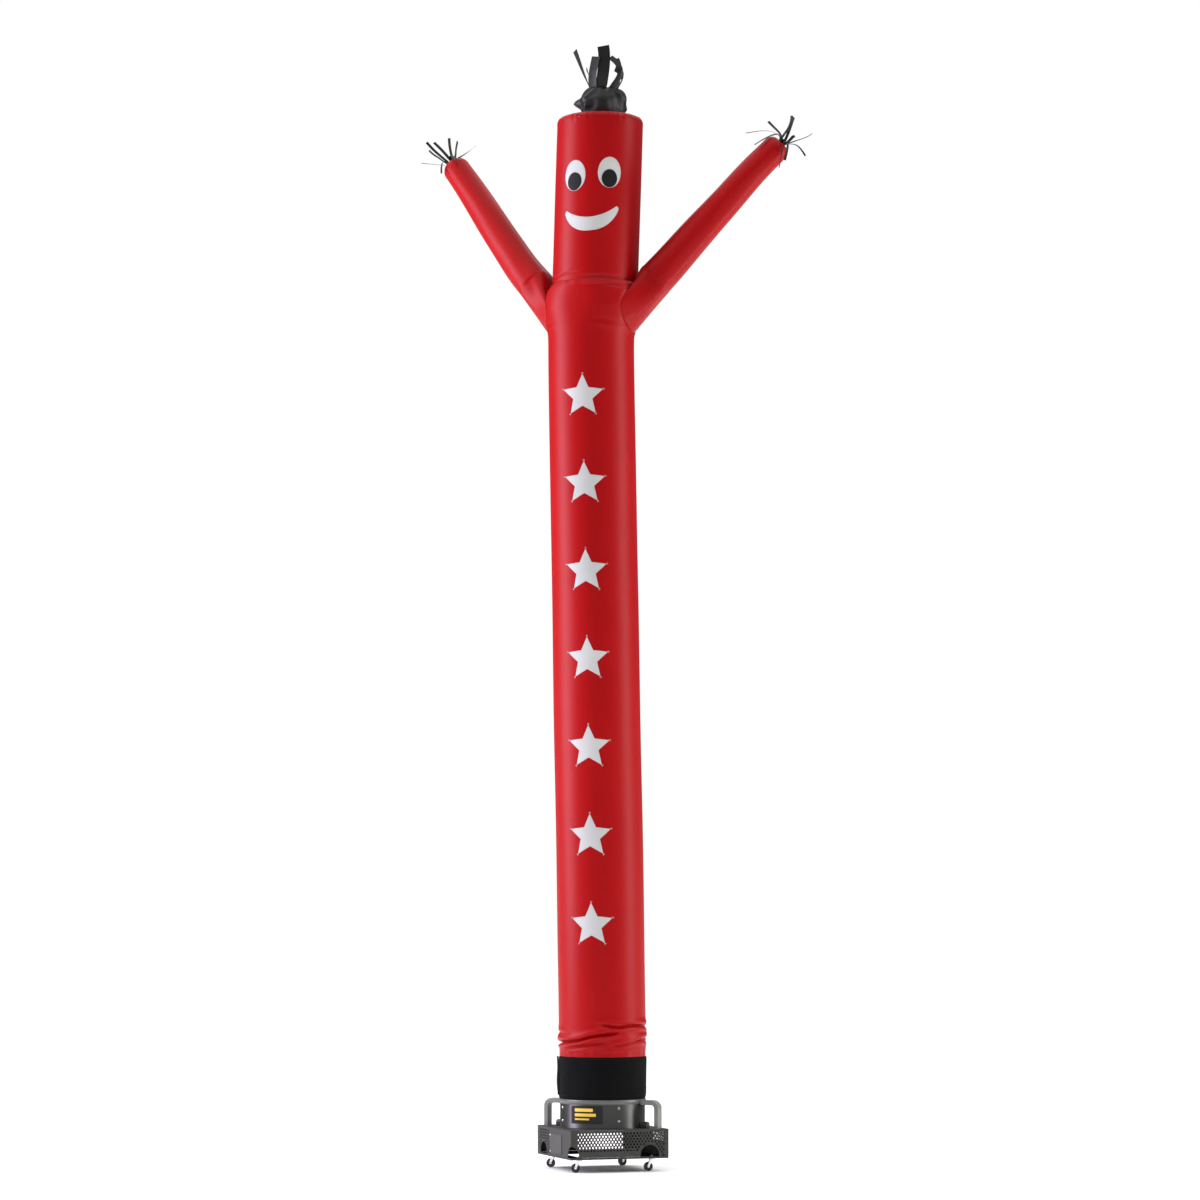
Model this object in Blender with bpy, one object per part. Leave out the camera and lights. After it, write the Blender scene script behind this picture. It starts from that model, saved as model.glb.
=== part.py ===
import math

import bmesh
import bpy
from mathutils import Matrix, Vector

# An inflatable tube figure standing on its wheeled blower.
# Metres, +Z up, floor at z = 0, the figure's face towards -Y.

# ---- driving dimensions -------------------------------------------------
GAP = 0.0004             # clearance between sewn or fitted pieces
AXIS_X = -0.0261         # blower axis in the row frame
AXIS_Y = -0.0693
BLOWER_TURN = -13.5      # blower turned under the figure, degrees

# cloth
WALL = 0.0012            # nylon wall
TUBE_R = 0.2350          # body and head tube, outside
TUBE_SEG = 32
TORSO_Z0 = 0.6056        # hem of the body at the cuff
NECK_Z = 4.8000          # seam between body and head
HEAD_Z1 = 5.6900         # seam between head and crown
VENT_R = 0.1220          # vent hole in the crown
ARM_SEG = 20
ARM_ROOT_Z = 4.6600      # middle of the arm hole
ARM_ROOT_HALF_H = 0.1320
ARM_ROOT_HALF_W = 0.1480
ARM_AROUND = {1: 83.0, -1: -102.0}   # arm holes, degrees from -Y towards +X
PATCH_T = 0.0010         # sewn-on white and black cloth
RIBBON_RISE = 2.5        # first rise of a ribbon, in heights of its ring

# cuff and duct
CUFF_Z0, CUFF_Z1 = 0.3796, 0.6050
DUCT_R = 0.2286          # 18 inch duct, outside
DUCT_T = 0.0020
DUCT_TOP = 0.4650        # hidden inside the cuff
RIM_R = 0.2336
RIM_Z0, RIM_Z1 = 0.3580, 0.3790
LABEL_TURN = 2.5
LABEL_HALF_ANGLE = 23.3
LABEL_Z0, LABEL_Z1 = 0.2544, 0.3494
BOLT_Z = (0.2660, 0.3360)
BOLT_R, BOLT_H = 0.0080, 0.0050

# box
BOX_HALF = 0.2760
BOX_Z0, BOX_Z1 = 0.0710, 0.2260
SHEET = 0.0020
TOP_T = 0.0030
TOP_HOLE_R = 0.2150
LIP_H = 0.0110
RING_W = 0.1100
ARCH_R = 0.0520
ARCH_RISE = 0.0100
ARCH_FROM_CORNER = 0.1060
NOTCH_W, NOTCH_H = 0.0480, 0.0600
COVER_S0, COVER_S1 = -0.1280, 0.0640
COVER_Z0, COVER_Z1 = 0.0920, 0.1950

# handles and feet of the duct
HANDLE_OUT_R = 0.3400
HANDLE_T, HANDLE_W = 0.0250, 0.0500
HANDLE_TOP = 0.3740
FOOT_OUT_R, FOOT_W, FOOT_H = 0.2700, 0.0420, 0.0340

# casters
CASTER_AT = 0.2900       # swivel distance from the blower axis
WHEEL_R, WHEEL_W, WHEEL_SEG = 0.0250, 0.0180, 20
TRAIL = 0.0180
BORE_R, PIN_R = 0.0036, 0.0030
STEM_R, STEM_BORE = 0.0040, 0.0047

# z, x and radius of the body tube; the body leans a little to -X and
# bulges and creases over the cuff where the cloth is longer than the cuff
TORSO = (
    # z      x        r
    (0.6056, 0.0000, 0.2318),
    (0.6250, 0.0000, 0.2322),
    (0.6450, 0.0000, 0.2345),
    (0.6700, 0.0000, 0.2350),
    (0.6950, -0.0010, 0.2390),
    (0.7250, -0.0010, 0.2392),
    (0.7600, -0.0020, 0.2335),
    (0.8000, -0.0025, 0.2350),
    (0.8800, -0.0035, 0.2350),
    (1.7000, -0.0171, 0.2350),
    (2.6000, -0.0320, 0.2350),
    (3.5000, -0.0470, 0.2350),
    (4.4500, -0.0628, 0.2350),
    (4.5000, -0.0624, 0.2350),
    (4.5500, -0.0603, 0.2350),
    (4.6180, -0.0564, 0.2350),
    (4.6700, -0.0532, 0.2350),
    (4.7130, -0.0487, 0.2350),
    (4.7400, -0.0460, 0.2350),
    (4.7600, -0.0440, 0.2350),
    (4.7880, -0.0418, 0.2335),
    (4.8000, -0.0410, 0.2310),
)
# how far the arms pull the body out at their seams
SHOULDER = (
    # z      out
    (4.5000, 0.0000),
    (4.5500, 0.0090),
    (4.6180, 0.0260),
    (4.6700, 0.0370),
    (4.7130, 0.0380),
    (4.7400, 0.0330),
    (4.7600, 0.0260),
    (4.7880, 0.0080),
    (4.8000, 0.0000),
)
HEAD = (
    (4.8006, -0.0410, 0.2310),
    (4.8140, -0.0405, 0.2340),
    (4.8400, -0.0397, 0.2350),
    (5.1300, -0.0305, 0.2350),
    (5.4200, -0.0214, 0.2350),
    (5.6894, -0.0128, 0.2350),
)
CROWN = (
    (5.6900, -0.0128, 0.2350),
    (5.7040, -0.0125, 0.2305),
    (5.7160, -0.0122, 0.2180),
    (5.7260, -0.0120, 0.1800),
    (5.7320, -0.0118, 0.1220),
)
# x, y, z and radius along each arm, the first row being the first full ring
ARM_RIGHT = (
    # x      y       z       r
    (0.3040, -0.0180, 4.8230, 0.0990),
    (0.3805, -0.0120, 4.9030, 0.0960),
    (0.5028, -0.0060, 5.0360, 0.0905),
    (0.6670, 0.0000, 5.2130, 0.0825),
    (0.8333, 0.0000, 5.3910, 0.0780),
    (0.9550, 0.0000, 5.5060, 0.0755),
    (0.9760, 0.0000, 5.5260, 0.0690),
    (0.9890, 0.0000, 5.5380, 0.0540),
    (0.9950, 0.0000, 5.5435, 0.0280),
)
ARM_LEFT = (
    (-0.3900, 0.0650, 4.8230, 0.0990),
    (-0.4743, 0.1120, 4.9220, 0.0960),
    (-0.5799, 0.1760, 5.0660, 0.0905),
    (-0.7483, 0.2830, 5.3100, 0.0825),
    (-0.8450, 0.3420, 5.4450, 0.0780),
    (-0.9180, 0.3850, 5.5440, 0.0755),
    (-0.9330, 0.3940, 5.5650, 0.0690),
    (-0.9420, 0.3990, 5.5780, 0.0540),
    (-0.9460, 0.4015, 5.5840, 0.0280),
)
# ribbons of the hands: place on the hub ring, then two steps of the free
# ribbon, measured from the hub's middle
RIBBONS_RIGHT = (
    # seg  x1      y1      z1      x2      y2      z2
    (0, 0.0300, 0.0400, 0.1000, 0.0450, 0.0900, 0.1500),
    (1, -0.0444, 0.0300, 0.0556, -0.0900, 0.0500, 0.1250),
    (2, -0.0597, 0.0050, 0.0722, -0.2050, -0.0050, 0.0550),
    (3, -0.0401, -0.0500, 0.0509, -0.1450, -0.0800, -0.0300),
    (4, 0.0350, -0.0100, 0.0600, 0.0520, -0.0200, 0.1350),
    (5, 0.0167, -0.0900, -0.0108, -0.0080, -0.1050, -0.1650),
    (6, 0.0378, -0.0700, -0.0336, 0.0200, -0.0800, -0.1200),
    (7, 0.0800, -0.0350, -0.0250, 0.1650, -0.0350, 0.0300),
    (8, 0.0650, 0.0300, -0.0100, 0.1150, 0.0450, -0.0750),
    (9, 0.0450, 0.0250, 0.0250, 0.0600, 0.0300, 0.0330),
)
RIBBONS_LEFT = (
    (8, 0.0471, 0.0366, 0.0242, 0.1250, 0.0500, 0.1000),
    (7, 0.0150, 0.0600, 0.0850, 0.0000, 0.1100, 0.1450),
    (6, -0.0250, 0.0450, 0.0850, -0.0350, 0.0600, 0.1550),
    (0, -0.0600, 0.0400, 0.0700, -0.1250, 0.0650, 0.1350),
    (1, -0.0900, 0.0000, 0.0500, -0.1500, -0.0050, 0.1220),
    (3, -0.0800, -0.0450, 0.0150, -0.1200, -0.0600, 0.0650),
    (2, -0.0862, -0.0493, -0.0332, -0.1650, -0.0600, -0.0050),
    (4, -0.0508, -0.0730, 0.0004, -0.0350, -0.1100, -0.0800),
    (5, 0.0123, -0.0719, 0.0432, 0.0600, -0.1250, -0.0150),
)
# ribbons of the hair on the ring at the mouth of the vent sleeve, measured
# from the middle of that ring
HAIR = (
    # seg  x1      y1      z1      x2      y2      z2
    (0, 0.1050, 0.0300, 0.0700, 0.1250, 0.0350, 0.1250),
    (1, 0.0700, 0.0900, 0.0900, 0.0900, 0.1150, 0.1700),
    (3, -0.0750, 0.0900, 0.0800, -0.0950, 0.1150, 0.1450),
    (4, -0.1000, 0.0050, 0.0900, -0.1450, 0.0050, 0.2150),
    (5, -0.0600, -0.0850, 0.1000, -0.0550, -0.0880, 0.1850),
    (6, 0.0050, -0.0980, 0.1200, 0.0150, -0.0980, 0.2450),
    (7, 0.0850, -0.0720, 0.0800, 0.0750, -0.0700, 0.1800),
)
HAIR_RING_Z, HAIR_RING_R, HAIR_RING_H = 5.8620, 0.0750, 0.0120
FACE_TURN = 3.0
EYE_HALF_W, EYE_HALF_H = 0.0650, 0.0845
PUPIL_HALF_W, PUPIL_HALF_H = 0.0435, 0.0500
EYES = (("left", -0.0990, 5.3680), ("right", 0.0990, 5.3800))
SMILE_HALF = 0.1520
SMILE_TOP, SMILE_UPPER_DIP, SMILE_LOWER_DIP = 5.1850, 0.0520, 0.1280
STAR_R, STAR_IN = 0.1280, 0.0560
STAR_Z = tuple(1.3100 + 0.4750 * i for i in range(7))

for old in list(bpy.data.objects):
    bpy.data.objects.remove(old, do_unlink=True)

MATERIALS = {
    # name          colour                 rough metal
    "red_nylon": ((0.530, 0.010, 0.012), 0.45, 0.0),
    "white_cloth": ((0.800, 0.800, 0.790), 0.60, 0.0),
    "black_cloth": ((0.006, 0.006, 0.007), 0.70, 0.0),
    "black_nylon": ((0.010, 0.010, 0.011), 0.50, 0.0),
    "duct_grey": ((0.045, 0.045, 0.043), 0.45, 0.2),
    "box_grey": ((0.042, 0.043, 0.039), 0.50, 0.2),
    "cover_grey": ((0.090, 0.090, 0.086), 0.50, 0.1),
    "handle_grey": ((0.220, 0.220, 0.205), 0.45, 0.3),
    "label_black": ((0.010, 0.009, 0.009), 0.40, 0.0),
    "bolt_zinc": ((0.550, 0.550, 0.560), 0.35, 1.0),
    "fork_chrome": ((0.620, 0.620, 0.630), 0.25, 1.0),
    "wheel_rubber": ((0.020, 0.020, 0.021), 0.55, 0.0),
}


def make_material(name):
    colour, rough, metal = MATERIALS[name]
    mat = bpy.data.materials.new(name)
    mat.use_nodes = True
    bsdf = mat.node_tree.nodes["Principled BSDF"]
    bsdf.inputs["Base Color"].default_value = (*colour, 1.0)
    bsdf.inputs["Roughness"].default_value = rough
    bsdf.inputs["Metallic"].default_value = metal
    return mat


MAT = {name: make_material(name) for name in MATERIALS}


def add(name, bm, mat, parent=None, loc=(0, 0, 0), rot=0.0, smooth=True):
    """One object from a closed mesh, its faces turned outwards."""
    bmesh.ops.recalc_face_normals(bm, faces=bm.faces[:])
    mesh = bpy.data.meshes.new(name)
    bm.to_mesh(mesh)
    bm.free()
    return place(name, mesh, mat, parent, loc, rot, smooth)


def place(name, mesh, mat, parent=None, loc=(0, 0, 0), rot=0.0, smooth=True):
    obj = bpy.data.objects.new(name, mesh)
    bpy.context.scene.collection.objects.link(obj)
    if not mesh.materials:
        mesh.materials.append(MAT[mat])
    if smooth:
        mesh.shade_smooth()
        mesh.set_sharp_from_angle(angle=math.radians(32))
    obj.parent = parent
    obj.location = loc
    obj.rotation_euler = (0.0, 0.0, rot)
    return obj


def empty(name, parent=None, loc=(0, 0, 0), rot=0.0):
    obj = bpy.data.objects.new(name, None)
    bpy.context.scene.collection.objects.link(obj)
    obj.parent = parent
    obj.location = loc
    obj.rotation_euler = (0.0, 0.0, rot)
    return obj


def loops_mesh(loops, ring):
    """Quads between equal loops; ring joins the last loop to the first,
    otherwise both ends get a flat cap."""
    bm = bmesh.new()
    rows = [[bm.verts.new(p) for p in loop] for loop in loops]
    n = len(rows[0])
    pairs = list(zip(rows, rows[1:]))
    if ring:
        pairs.append((rows[-1], rows[0]))
    for a, b in pairs:
        for i in range(n):
            j = (i + 1) % n
            bm.faces.new((a[i], a[j], b[j], b[i]))
    if not ring:
        bm.faces.new(rows[0])
        bm.faces.new(rows[-1])
    return bm


def circle(n, r, z, x=0.0, y=0.0, turn=0.0):
    step = 2 * math.pi / n
    return [(x + r * math.cos(step * i + turn),
             y + r * math.sin(step * i + turn), z) for i in range(n)]


def turned(profile, n, turn=0.0):
    """Ring turned from a closed (r, z) profile that stays off the axis."""
    return loops_mesh([circle(n, r, z, turn=turn) for r, z in profile], True)


def lathe(profile, n):
    """Solid turned from an open (r, z) profile, capped at both ends."""
    return loops_mesh([circle(n, r, z) for r, z in profile], False)


def prism(outline, lo, hi, axes):
    """Outline of (a, b) pairs extruded from lo to hi. axes maps (a, b, c)
    to a point."""
    return loops_mesh([[axes(a, b, lo) for a, b in outline],
                       [axes(a, b, hi) for a, b in outline]], False)


def skin(loops, wall):
    """Thin shell: the given loops outside, the same loops drawn in by the
    wall inside, open at both ends."""
    inner = []
    for loop in loops:
        c = sum((Vector(p) for p in loop), Vector()) / len(loop)
        row = []
        for p in loop:
            d = Vector(p) - c
            row.append(tuple(c + d * (1.0 - wall / d.length)))
        inner.append(row)
    return loops_mesh(list(loops) + inner[::-1], True)


def split_skin(loops, wall):
    """Thin shell like skin, its skewed quads cut along the same diagonals
    outside and inside, the ones that leave the cloth bulging out."""
    n = len(loops[0])
    middles = [sum((Vector(p) for p in loop), Vector()) / n for loop in loops]
    bm = bmesh.new()
    outer, inner = [], []
    for loop, c in zip(loops, middles):
        outer.append([bm.verts.new(p) for p in loop])
        inner.append([bm.verts.new(c + (Vector(p) - c) * (1.0 - wall / (Vector(p) - c).length))
                      for p in loop])
    for k in range(len(loops) - 1):
        c = (middles[k] + middles[k + 1]) / 2
        for i in range(n):
            j = (i + 1) % n
            a, b, d, e = (outer[k][i].co, outer[k][j].co, outer[k + 1][j].co, outer[k + 1][i].co)
            first = ((a + d) / 2 - c).length >= ((b + e) / 2 - c).length
            for rows, turn in ((outer, 1), (inner, -1)):
                q = (rows[k][i], rows[k][j], rows[k + 1][j], rows[k + 1][i])
                tris = ((0, 1, 2), (0, 2, 3)) if first else ((0, 1, 3), (1, 2, 3))
                for t in tris:
                    bm.faces.new([q[m] for m in t][::turn])
    for k in (0, len(loops) - 1):
        for i in range(n):
            j = (i + 1) % n
            bm.faces.new((outer[k][i], outer[k][j], inner[k][j]))
            bm.faces.new((outer[k][i], inner[k][j], inner[k][i]))
    return bm


def baked(obj):
    """The object's mesh with its modifiers applied, for pieces in copies."""
    deps = bpy.context.evaluated_depsgraph_get()
    mesh = bpy.data.meshes.new_from_object(obj.evaluated_get(deps))
    return mesh


def boolean(obj, other, operation):
    mod = obj.modifiers.new(operation.title(), "BOOLEAN")
    mod.operation = operation
    mod.object = other
    mod.solver = "EXACT"


def guide(obj):
    obj.hide_render = True
    obj.display_type = "WIRE"
    return obj


# ---- cloth tubes --------------------------------------------------------
def axis_x(rows, z):
    for (z0, x0, _), (z1, x1, _) in zip(rows, rows[1:]):
        if z <= z1:
            t = (z - z0) / (z1 - z0)
            return x0 + (x1 - x0) * t
    return rows[-1][1]


def tube_rings(rows, n):
    return [circle(n, r, z, AXIS_X + x, AXIS_Y) for z, x, r in rows]


def body_r(z, around):
    """Radius of the body, drawn out towards the arms. around is in degrees
    from -Y towards +X."""
    r = out = 0.0
    for (z0, _, r0), (z1, _, r1) in zip(TORSO, TORSO[1:]):
        if z0 <= z <= z1:
            r = r0 + (r1 - r0) * (z - z0) / (z1 - z0)
    for (z0, o0), (z1, o1) in zip(SHOULDER, SHOULDER[1:]):
        if z0 <= z <= z1:
            out = o0 + (o1 - o0) * (z - z0) / (z1 - z0)
    for middle in ARM_AROUND.values():
        r += out * max(0.0, math.cos(math.radians(around - middle))) ** 1.5
    return r


def body_point(z, around, reach=0.0):
    r = body_r(z, around) + reach
    a = math.radians(around)
    return (AXIS_X + axis_x(TORSO, z) + r * math.sin(a), AXIS_Y - r * math.cos(a), z)


torso = add("torso", skin([[body_point(z, 90 + 360.0 * i / TUBE_SEG) for i in range(TUBE_SEG)]
                           for z, _, _ in TORSO], WALL), "red_nylon")
add("head", skin(tube_rings(HEAD, TUBE_SEG), WALL), "red_nylon")
add("crown", skin(tube_rings(CROWN, TUBE_SEG), WALL), "red_nylon")


def root_ring(side, reach):
    """Arm seam on the body tube, a ring that wraps its side."""
    pts = []
    for i in range(ARM_SEG):
        w = 2 * math.pi * i / ARM_SEG
        z = ARM_ROOT_Z + ARM_ROOT_HALF_H * math.sin(w)
        turn = math.asin(ARM_ROOT_HALF_W * math.cos(w) / (TUBE_R + 0.020))
        pts.append(body_point(z, ARM_AROUND[side] + side * math.degrees(turn), reach))
    return pts


def arm_rings(rows, side):
    first = root_ring(side, 0.0040)
    rings = [first]
    pts = [Vector((AXIS_X + x, AXIS_Y + y, z)) for x, y, z, r in rows]
    for k, (x, y, z, r) in enumerate(rows):
        a = pts[max(k - 1, 0)]
        b = pts[min(k + 1, len(pts) - 1)]
        if k == 0:
            a = Vector(body_point(ARM_ROOT_Z, ARM_AROUND[side]))
        t = (b - a).normalized()
        across = Vector((0, 1, 0))
        across = (across - t * across.dot(t)).normalized()
        up = t.cross(across) * (1 if side < 0 else -1)
        if up.z < 0:
            up = -up
        rings.append([tuple(pts[k] + across * (r * math.cos(w)) + up * (r * math.sin(w)))
                      for w in (2 * math.pi * i / ARM_SEG for i in range(ARM_SEG))])
    return rings


for name, rows, side in (("arm_right", ARM_RIGHT, 1), ("arm_left", ARM_LEFT, -1)):
    add(name, split_skin(arm_rings(rows, side), WALL), "red_nylon")
    middle = Vector((AXIS_X + axis_x(TORSO, ARM_ROOT_Z), AXIS_Y, ARM_ROOT_Z))
    turn = math.radians(ARM_AROUND[side])
    out = Vector((math.sin(turn), -math.cos(turn), 0))
    along = Vector((math.cos(turn), math.sin(turn), 0)) * side
    hole = []
    for d in (0.12, 0.34):
        hole.append([tuple(middle + out * d + along * (ARM_ROOT_HALF_W - 0.008) * math.cos(w)
                           + Vector((0, 0, (ARM_ROOT_HALF_H - 0.008) * math.sin(w))))
                     for w in (2 * math.pi * i / ARM_SEG for i in range(ARM_SEG))])
    cutter = guide(add(name + "_hole_cutter", loops_mesh(hole, False), "red_nylon"))
    boolean(torso, cutter, "DIFFERENCE")


# ---- sewn-on patches ----------------------------------------------------
def facet_ratio(a, seg):
    """Distance to a facet of a tube over its corner radius, at angle a."""
    step = 2 * math.pi / seg
    mid = (math.floor(a / step + 1e-6) + 0.5) * step
    return math.cos(step / 2) / math.cos(a - mid)


def patch(outline, turn, rows, lift, thick, seg=TUBE_SEG, z_rows=()):
    """Flat outline of (arc, z) wrapped on a tube: creased on the tube's own
    facet lines, lifted off it, with an even thickness. turn is the middle of
    the outline, degrees from -Y towards +X."""
    bm = bmesh.new()
    mid = math.radians(turn) * TUBE_R
    bm.faces.new([bm.verts.new((mid + s, 0.0, z)) for s, z in outline])
    step = 2 * math.pi / seg * TUBE_R
    for k in range(-seg // 4, seg // 4 + 1):
        bmesh.ops.bisect_plane(bm, geom=bm.verts[:] + bm.edges[:] + bm.faces[:],
                               dist=1e-7, plane_co=(k * step, 0, 0), plane_no=(1, 0, 0))
    for z in z_rows:
        bmesh.ops.bisect_plane(bm, geom=bm.verts[:] + bm.edges[:] + bm.faces[:],
                               dist=1e-7, plane_co=(0, 0, z), plane_no=(0, 0, 1))
    out = bmesh.new()
    outer, inner = {}, {}
    for v in bm.verts:
        a = v.co.x / TUBE_R
        cx = AXIS_X + axis_x(rows, v.co.z)
        flat = facet_ratio(a, seg)
        for store, r in ((inner, (TUBE_R + lift) * flat), (outer, (TUBE_R + lift + thick) * flat)):
            store[v] = out.verts.new((cx + r * math.sin(a), AXIS_Y - r * math.cos(a), v.co.z))
    for f in bm.faces:
        out.faces.new([outer[v] for v in f.verts])
        out.faces.new([inner[v] for v in reversed(f.verts)])
    for e in bm.edges:
        if len(e.link_faces) == 1:
            a, b = e.verts
            out.faces.new((outer[a], outer[b], inner[b], inner[a]))
    bm.free()
    return out


def oval(cs, cz, hw, hh, n=20, lean=0.0):
    pts = []
    for i in range(n):
        w = 2 * math.pi * (i + 0.5) / n
        s, z = hw * math.cos(w), hh * math.sin(w)
        pts.append((cs + s * math.cos(lean) - z * math.sin(lean),
                    cz + s * math.sin(lean) + z * math.cos(lean)))
    return pts


for side, s, z in EYES:
    add("eye_white_" + side, patch(oval(s, z, EYE_HALF_W, EYE_HALF_H), FACE_TURN, HEAD,
                                   GAP, PATCH_T), "white_cloth")
    add("pupil_" + side, patch(oval(s, z - 0.033, PUPIL_HALF_W, PUPIL_HALF_H, 16), FACE_TURN,
                               HEAD, 2 * GAP + PATCH_T, PATCH_T), "black_cloth")

smile = []
for i in range(13):
    u = -1 + 2 * i / 12
    smile.append((SMILE_HALF * u, SMILE_TOP + 0.010 * u - SMILE_UPPER_DIP * (1 - u * u)))
for i in range(13):
    u = 1 - 2 * i / 12
    smile.append((SMILE_HALF * 0.97 * u,
                  SMILE_TOP + 0.010 * u - 0.022 - (SMILE_LOWER_DIP - 0.022) * (1 - u * u)))
add("smile", patch(smile, FACE_TURN, HEAD, GAP, PATCH_T), "white_cloth")

for i, zc in enumerate(STAR_Z):
    pts = []
    for k in range(10):
        r = STAR_R if k % 2 == 0 else STAR_IN
        w = math.pi / 2 + math.pi * k / 5
        pts.append((r * math.cos(w), zc + r * math.sin(w)))
    add("star_%d" % (i + 1), patch(pts, 0.0, TORSO, GAP, PATCH_T,
                                   z_rows=[z for z, _, _ in TORSO]), "white_cloth")


# ---- ribbons ------------------------------------------------------------
def comb(n, ring_r, ring_h, thick, centre, axis, across, rows):
    """A short ring of n facets with ribbons that grow out of its top edge."""
    axis = Vector(axis).normalized()
    u = Vector(across)
    u = (u - axis * u.dot(axis)).normalized()
    v = axis.cross(u)
    centre = Vector(centre)

    def at(i, r, h):
        w = 2 * math.pi * (i - 0.5) / n
        return centre + (u * math.cos(w) + v * math.sin(w)) * r + axis * h

    bm = bmesh.new()
    lo_out = [bm.verts.new(at(i, ring_r, 0)) for i in range(n)]
    hi_out = [bm.verts.new(at(i, ring_r, ring_h)) for i in range(n)]
    lo_in = [bm.verts.new(at(i, ring_r - thick, 0)) for i in range(n)]
    hi_in = [bm.verts.new(at(i, ring_r - thick, ring_h)) for i in range(n)]
    used = {row[0] for row in rows}
    for i in range(n):
        j = (i + 1) % n
        bm.faces.new((lo_out[i], lo_out[j], hi_out[j], hi_out[i]))
        bm.faces.new((lo_in[j], lo_in[i], hi_in[i], hi_in[j]))
        bm.faces.new((lo_in[i], lo_in[j], lo_out[j], lo_out[i]))
        if i not in used:
            bm.faces.new((hi_out[i], hi_out[j], hi_in[j], hi_in[i]))
    for seg, *steps in rows:
        i, j = seg, (seg + 1) % n
        quad = [hi_out[i], hi_out[j], hi_in[j], hi_in[i]]
        tangent = (hi_out[j].co - hi_out[i].co)
        width = tangent.length * 0.92
        start = sum((q.co for q in quad), Vector()) / 4
        p1 = centre + axis * ring_h + Vector(steps[0:3])
        p2 = centre + axis * ring_h + Vector(steps[3:6])
        # out of the ring along its axis, then over to where it hangs
        out = (at(seg + 0.5, 1.0, 0.0) - centre).normalized()
        p0 = start + axis * (ring_h * RIBBON_RISE) + out * (ring_h * 0.8)
        pts = [start]
        for t in (0.2, 0.45, 0.72, 1.0):
            pts.append(start * (1 - t) ** 3 + p0 * 3 * t * (1 - t) ** 2
                       + (p1 + axis * ring_h) * 3 * t * t * (1 - t) + p2 * t ** 3)
        w = tangent.normalized()
        hand = 1.0 if axis.cross(w).dot(quad[0].co - quad[3].co) > 0 else -1.0
        for k in range(1, len(pts)):
            # the section is carried along, so the strip never turns over
            d = (pts[min(k + 1, len(pts) - 1)] - pts[k - 1]).normalized()
            w = (w - d * w.dot(d)).normalized()
            nrm = d.cross(w) * hand
            c = pts[k]
            new = [bm.verts.new(c - w * width / 2 + nrm * thick / 2),
                   bm.verts.new(c + w * width / 2 + nrm * thick / 2),
                   bm.verts.new(c + w * width / 2 - nrm * thick / 2),
                   bm.verts.new(c - w * width / 2 - nrm * thick / 2)]
            for a in range(4):
                b = (a + 1) % 4
                bm.faces.new((quad[a], quad[b], new[b], new[a]))
            quad = new
        bm.faces.new(quad)
    return bm


for name, rows, ribbons in (("ribbons_right", ARM_RIGHT, RIBBONS_RIGHT),
                            ("ribbons_left", ARM_LEFT, RIBBONS_LEFT)):
    end = Vector(rows[-1][:3]) + Vector((AXIS_X, AXIS_Y, 0))
    way = (Vector(rows[-1][:3]) - Vector(rows[-3][:3])).normalized()
    add(name, comb(10, 0.0230, 0.0120, WALL, end + way * 0.0010, way, (0, 1, 0), ribbons),
        "black_nylon", smooth=False)

# the vent sleeve: uneven folds round its wall, drawn in to the mouth
SLEEVE = (
    # z      x        r       fold
    (5.7326, -0.0080, 0.1180, 0.000),
    (5.7600, -0.0040, 0.1200, 0.040),
    (5.7900, -0.0020, 0.1230, 0.070),
    (5.8200, 0.0000, 0.1180, 0.080),
    (5.8450, 0.0020, 0.1020, 0.060),
    (5.8610, 0.0040, 0.0850, 0.020),
)
sleeve = []
for z, x, r, fold in SLEEVE:
    ring = []
    for i in range(24):
        w = 2 * math.pi * i / 24
        rr = r * (1 + fold * (math.sin(3 * w + 1.1) + 0.6 * math.sin(7 * w + 30 * z)))
        ring.append((AXIS_X + x + rr * math.cos(w), AXIS_Y + rr * math.sin(w), z))
    sleeve.append(ring)
add("hair_sleeve", split_skin(sleeve, WALL), "black_nylon")
add("hair_ribbons", comb(8, HAIR_RING_R, HAIR_RING_H, WALL,
                         (AXIS_X + 0.004, AXIS_Y, HAIR_RING_Z), (0, 0, 1), (1, 0, 0), HAIR),
    "black_nylon", smooth=False)

# ---- cuff ---------------------------------------------------------------
blower = empty("blower", None, (AXIS_X, AXIS_Y, 0), math.radians(BLOWER_TURN))
CUFF = ((CUFF_Z0, 0.2312), (0.3880, 0.2335), (0.4000, 0.2365),
        (0.5900, 0.2365), (CUFF_Z1, 0.2335))
add("cuff", skin([circle(40, r, z) for z, r in CUFF], 0.0020), "black_cloth", blower)

# closure strap of the cuff, its loose end standing a little off
FLAP_Z0, FLAP_Z1, FLAP_FROM, FLAP_STEP = 0.3970, 0.6020, -146.0, 4.0
flap_out, flap_in = [], []
for i, off in enumerate((0.0008, 0.0008, 0.0010, 0.0030, 0.0075, 0.0130)):
    w = math.radians(FLAP_FROM - FLAP_STEP * i)
    for store, r in ((flap_out, 0.2365 + off + 0.0022), (flap_in, 0.2365 + off)):
        store.append((r * math.cos(w), r * math.sin(w)))
add("cuff_strap", prism(flap_out + flap_in[::-1], FLAP_Z0, FLAP_Z1,
                        lambda a, b, c: (a, b, c)), "black_cloth", blower)

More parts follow.
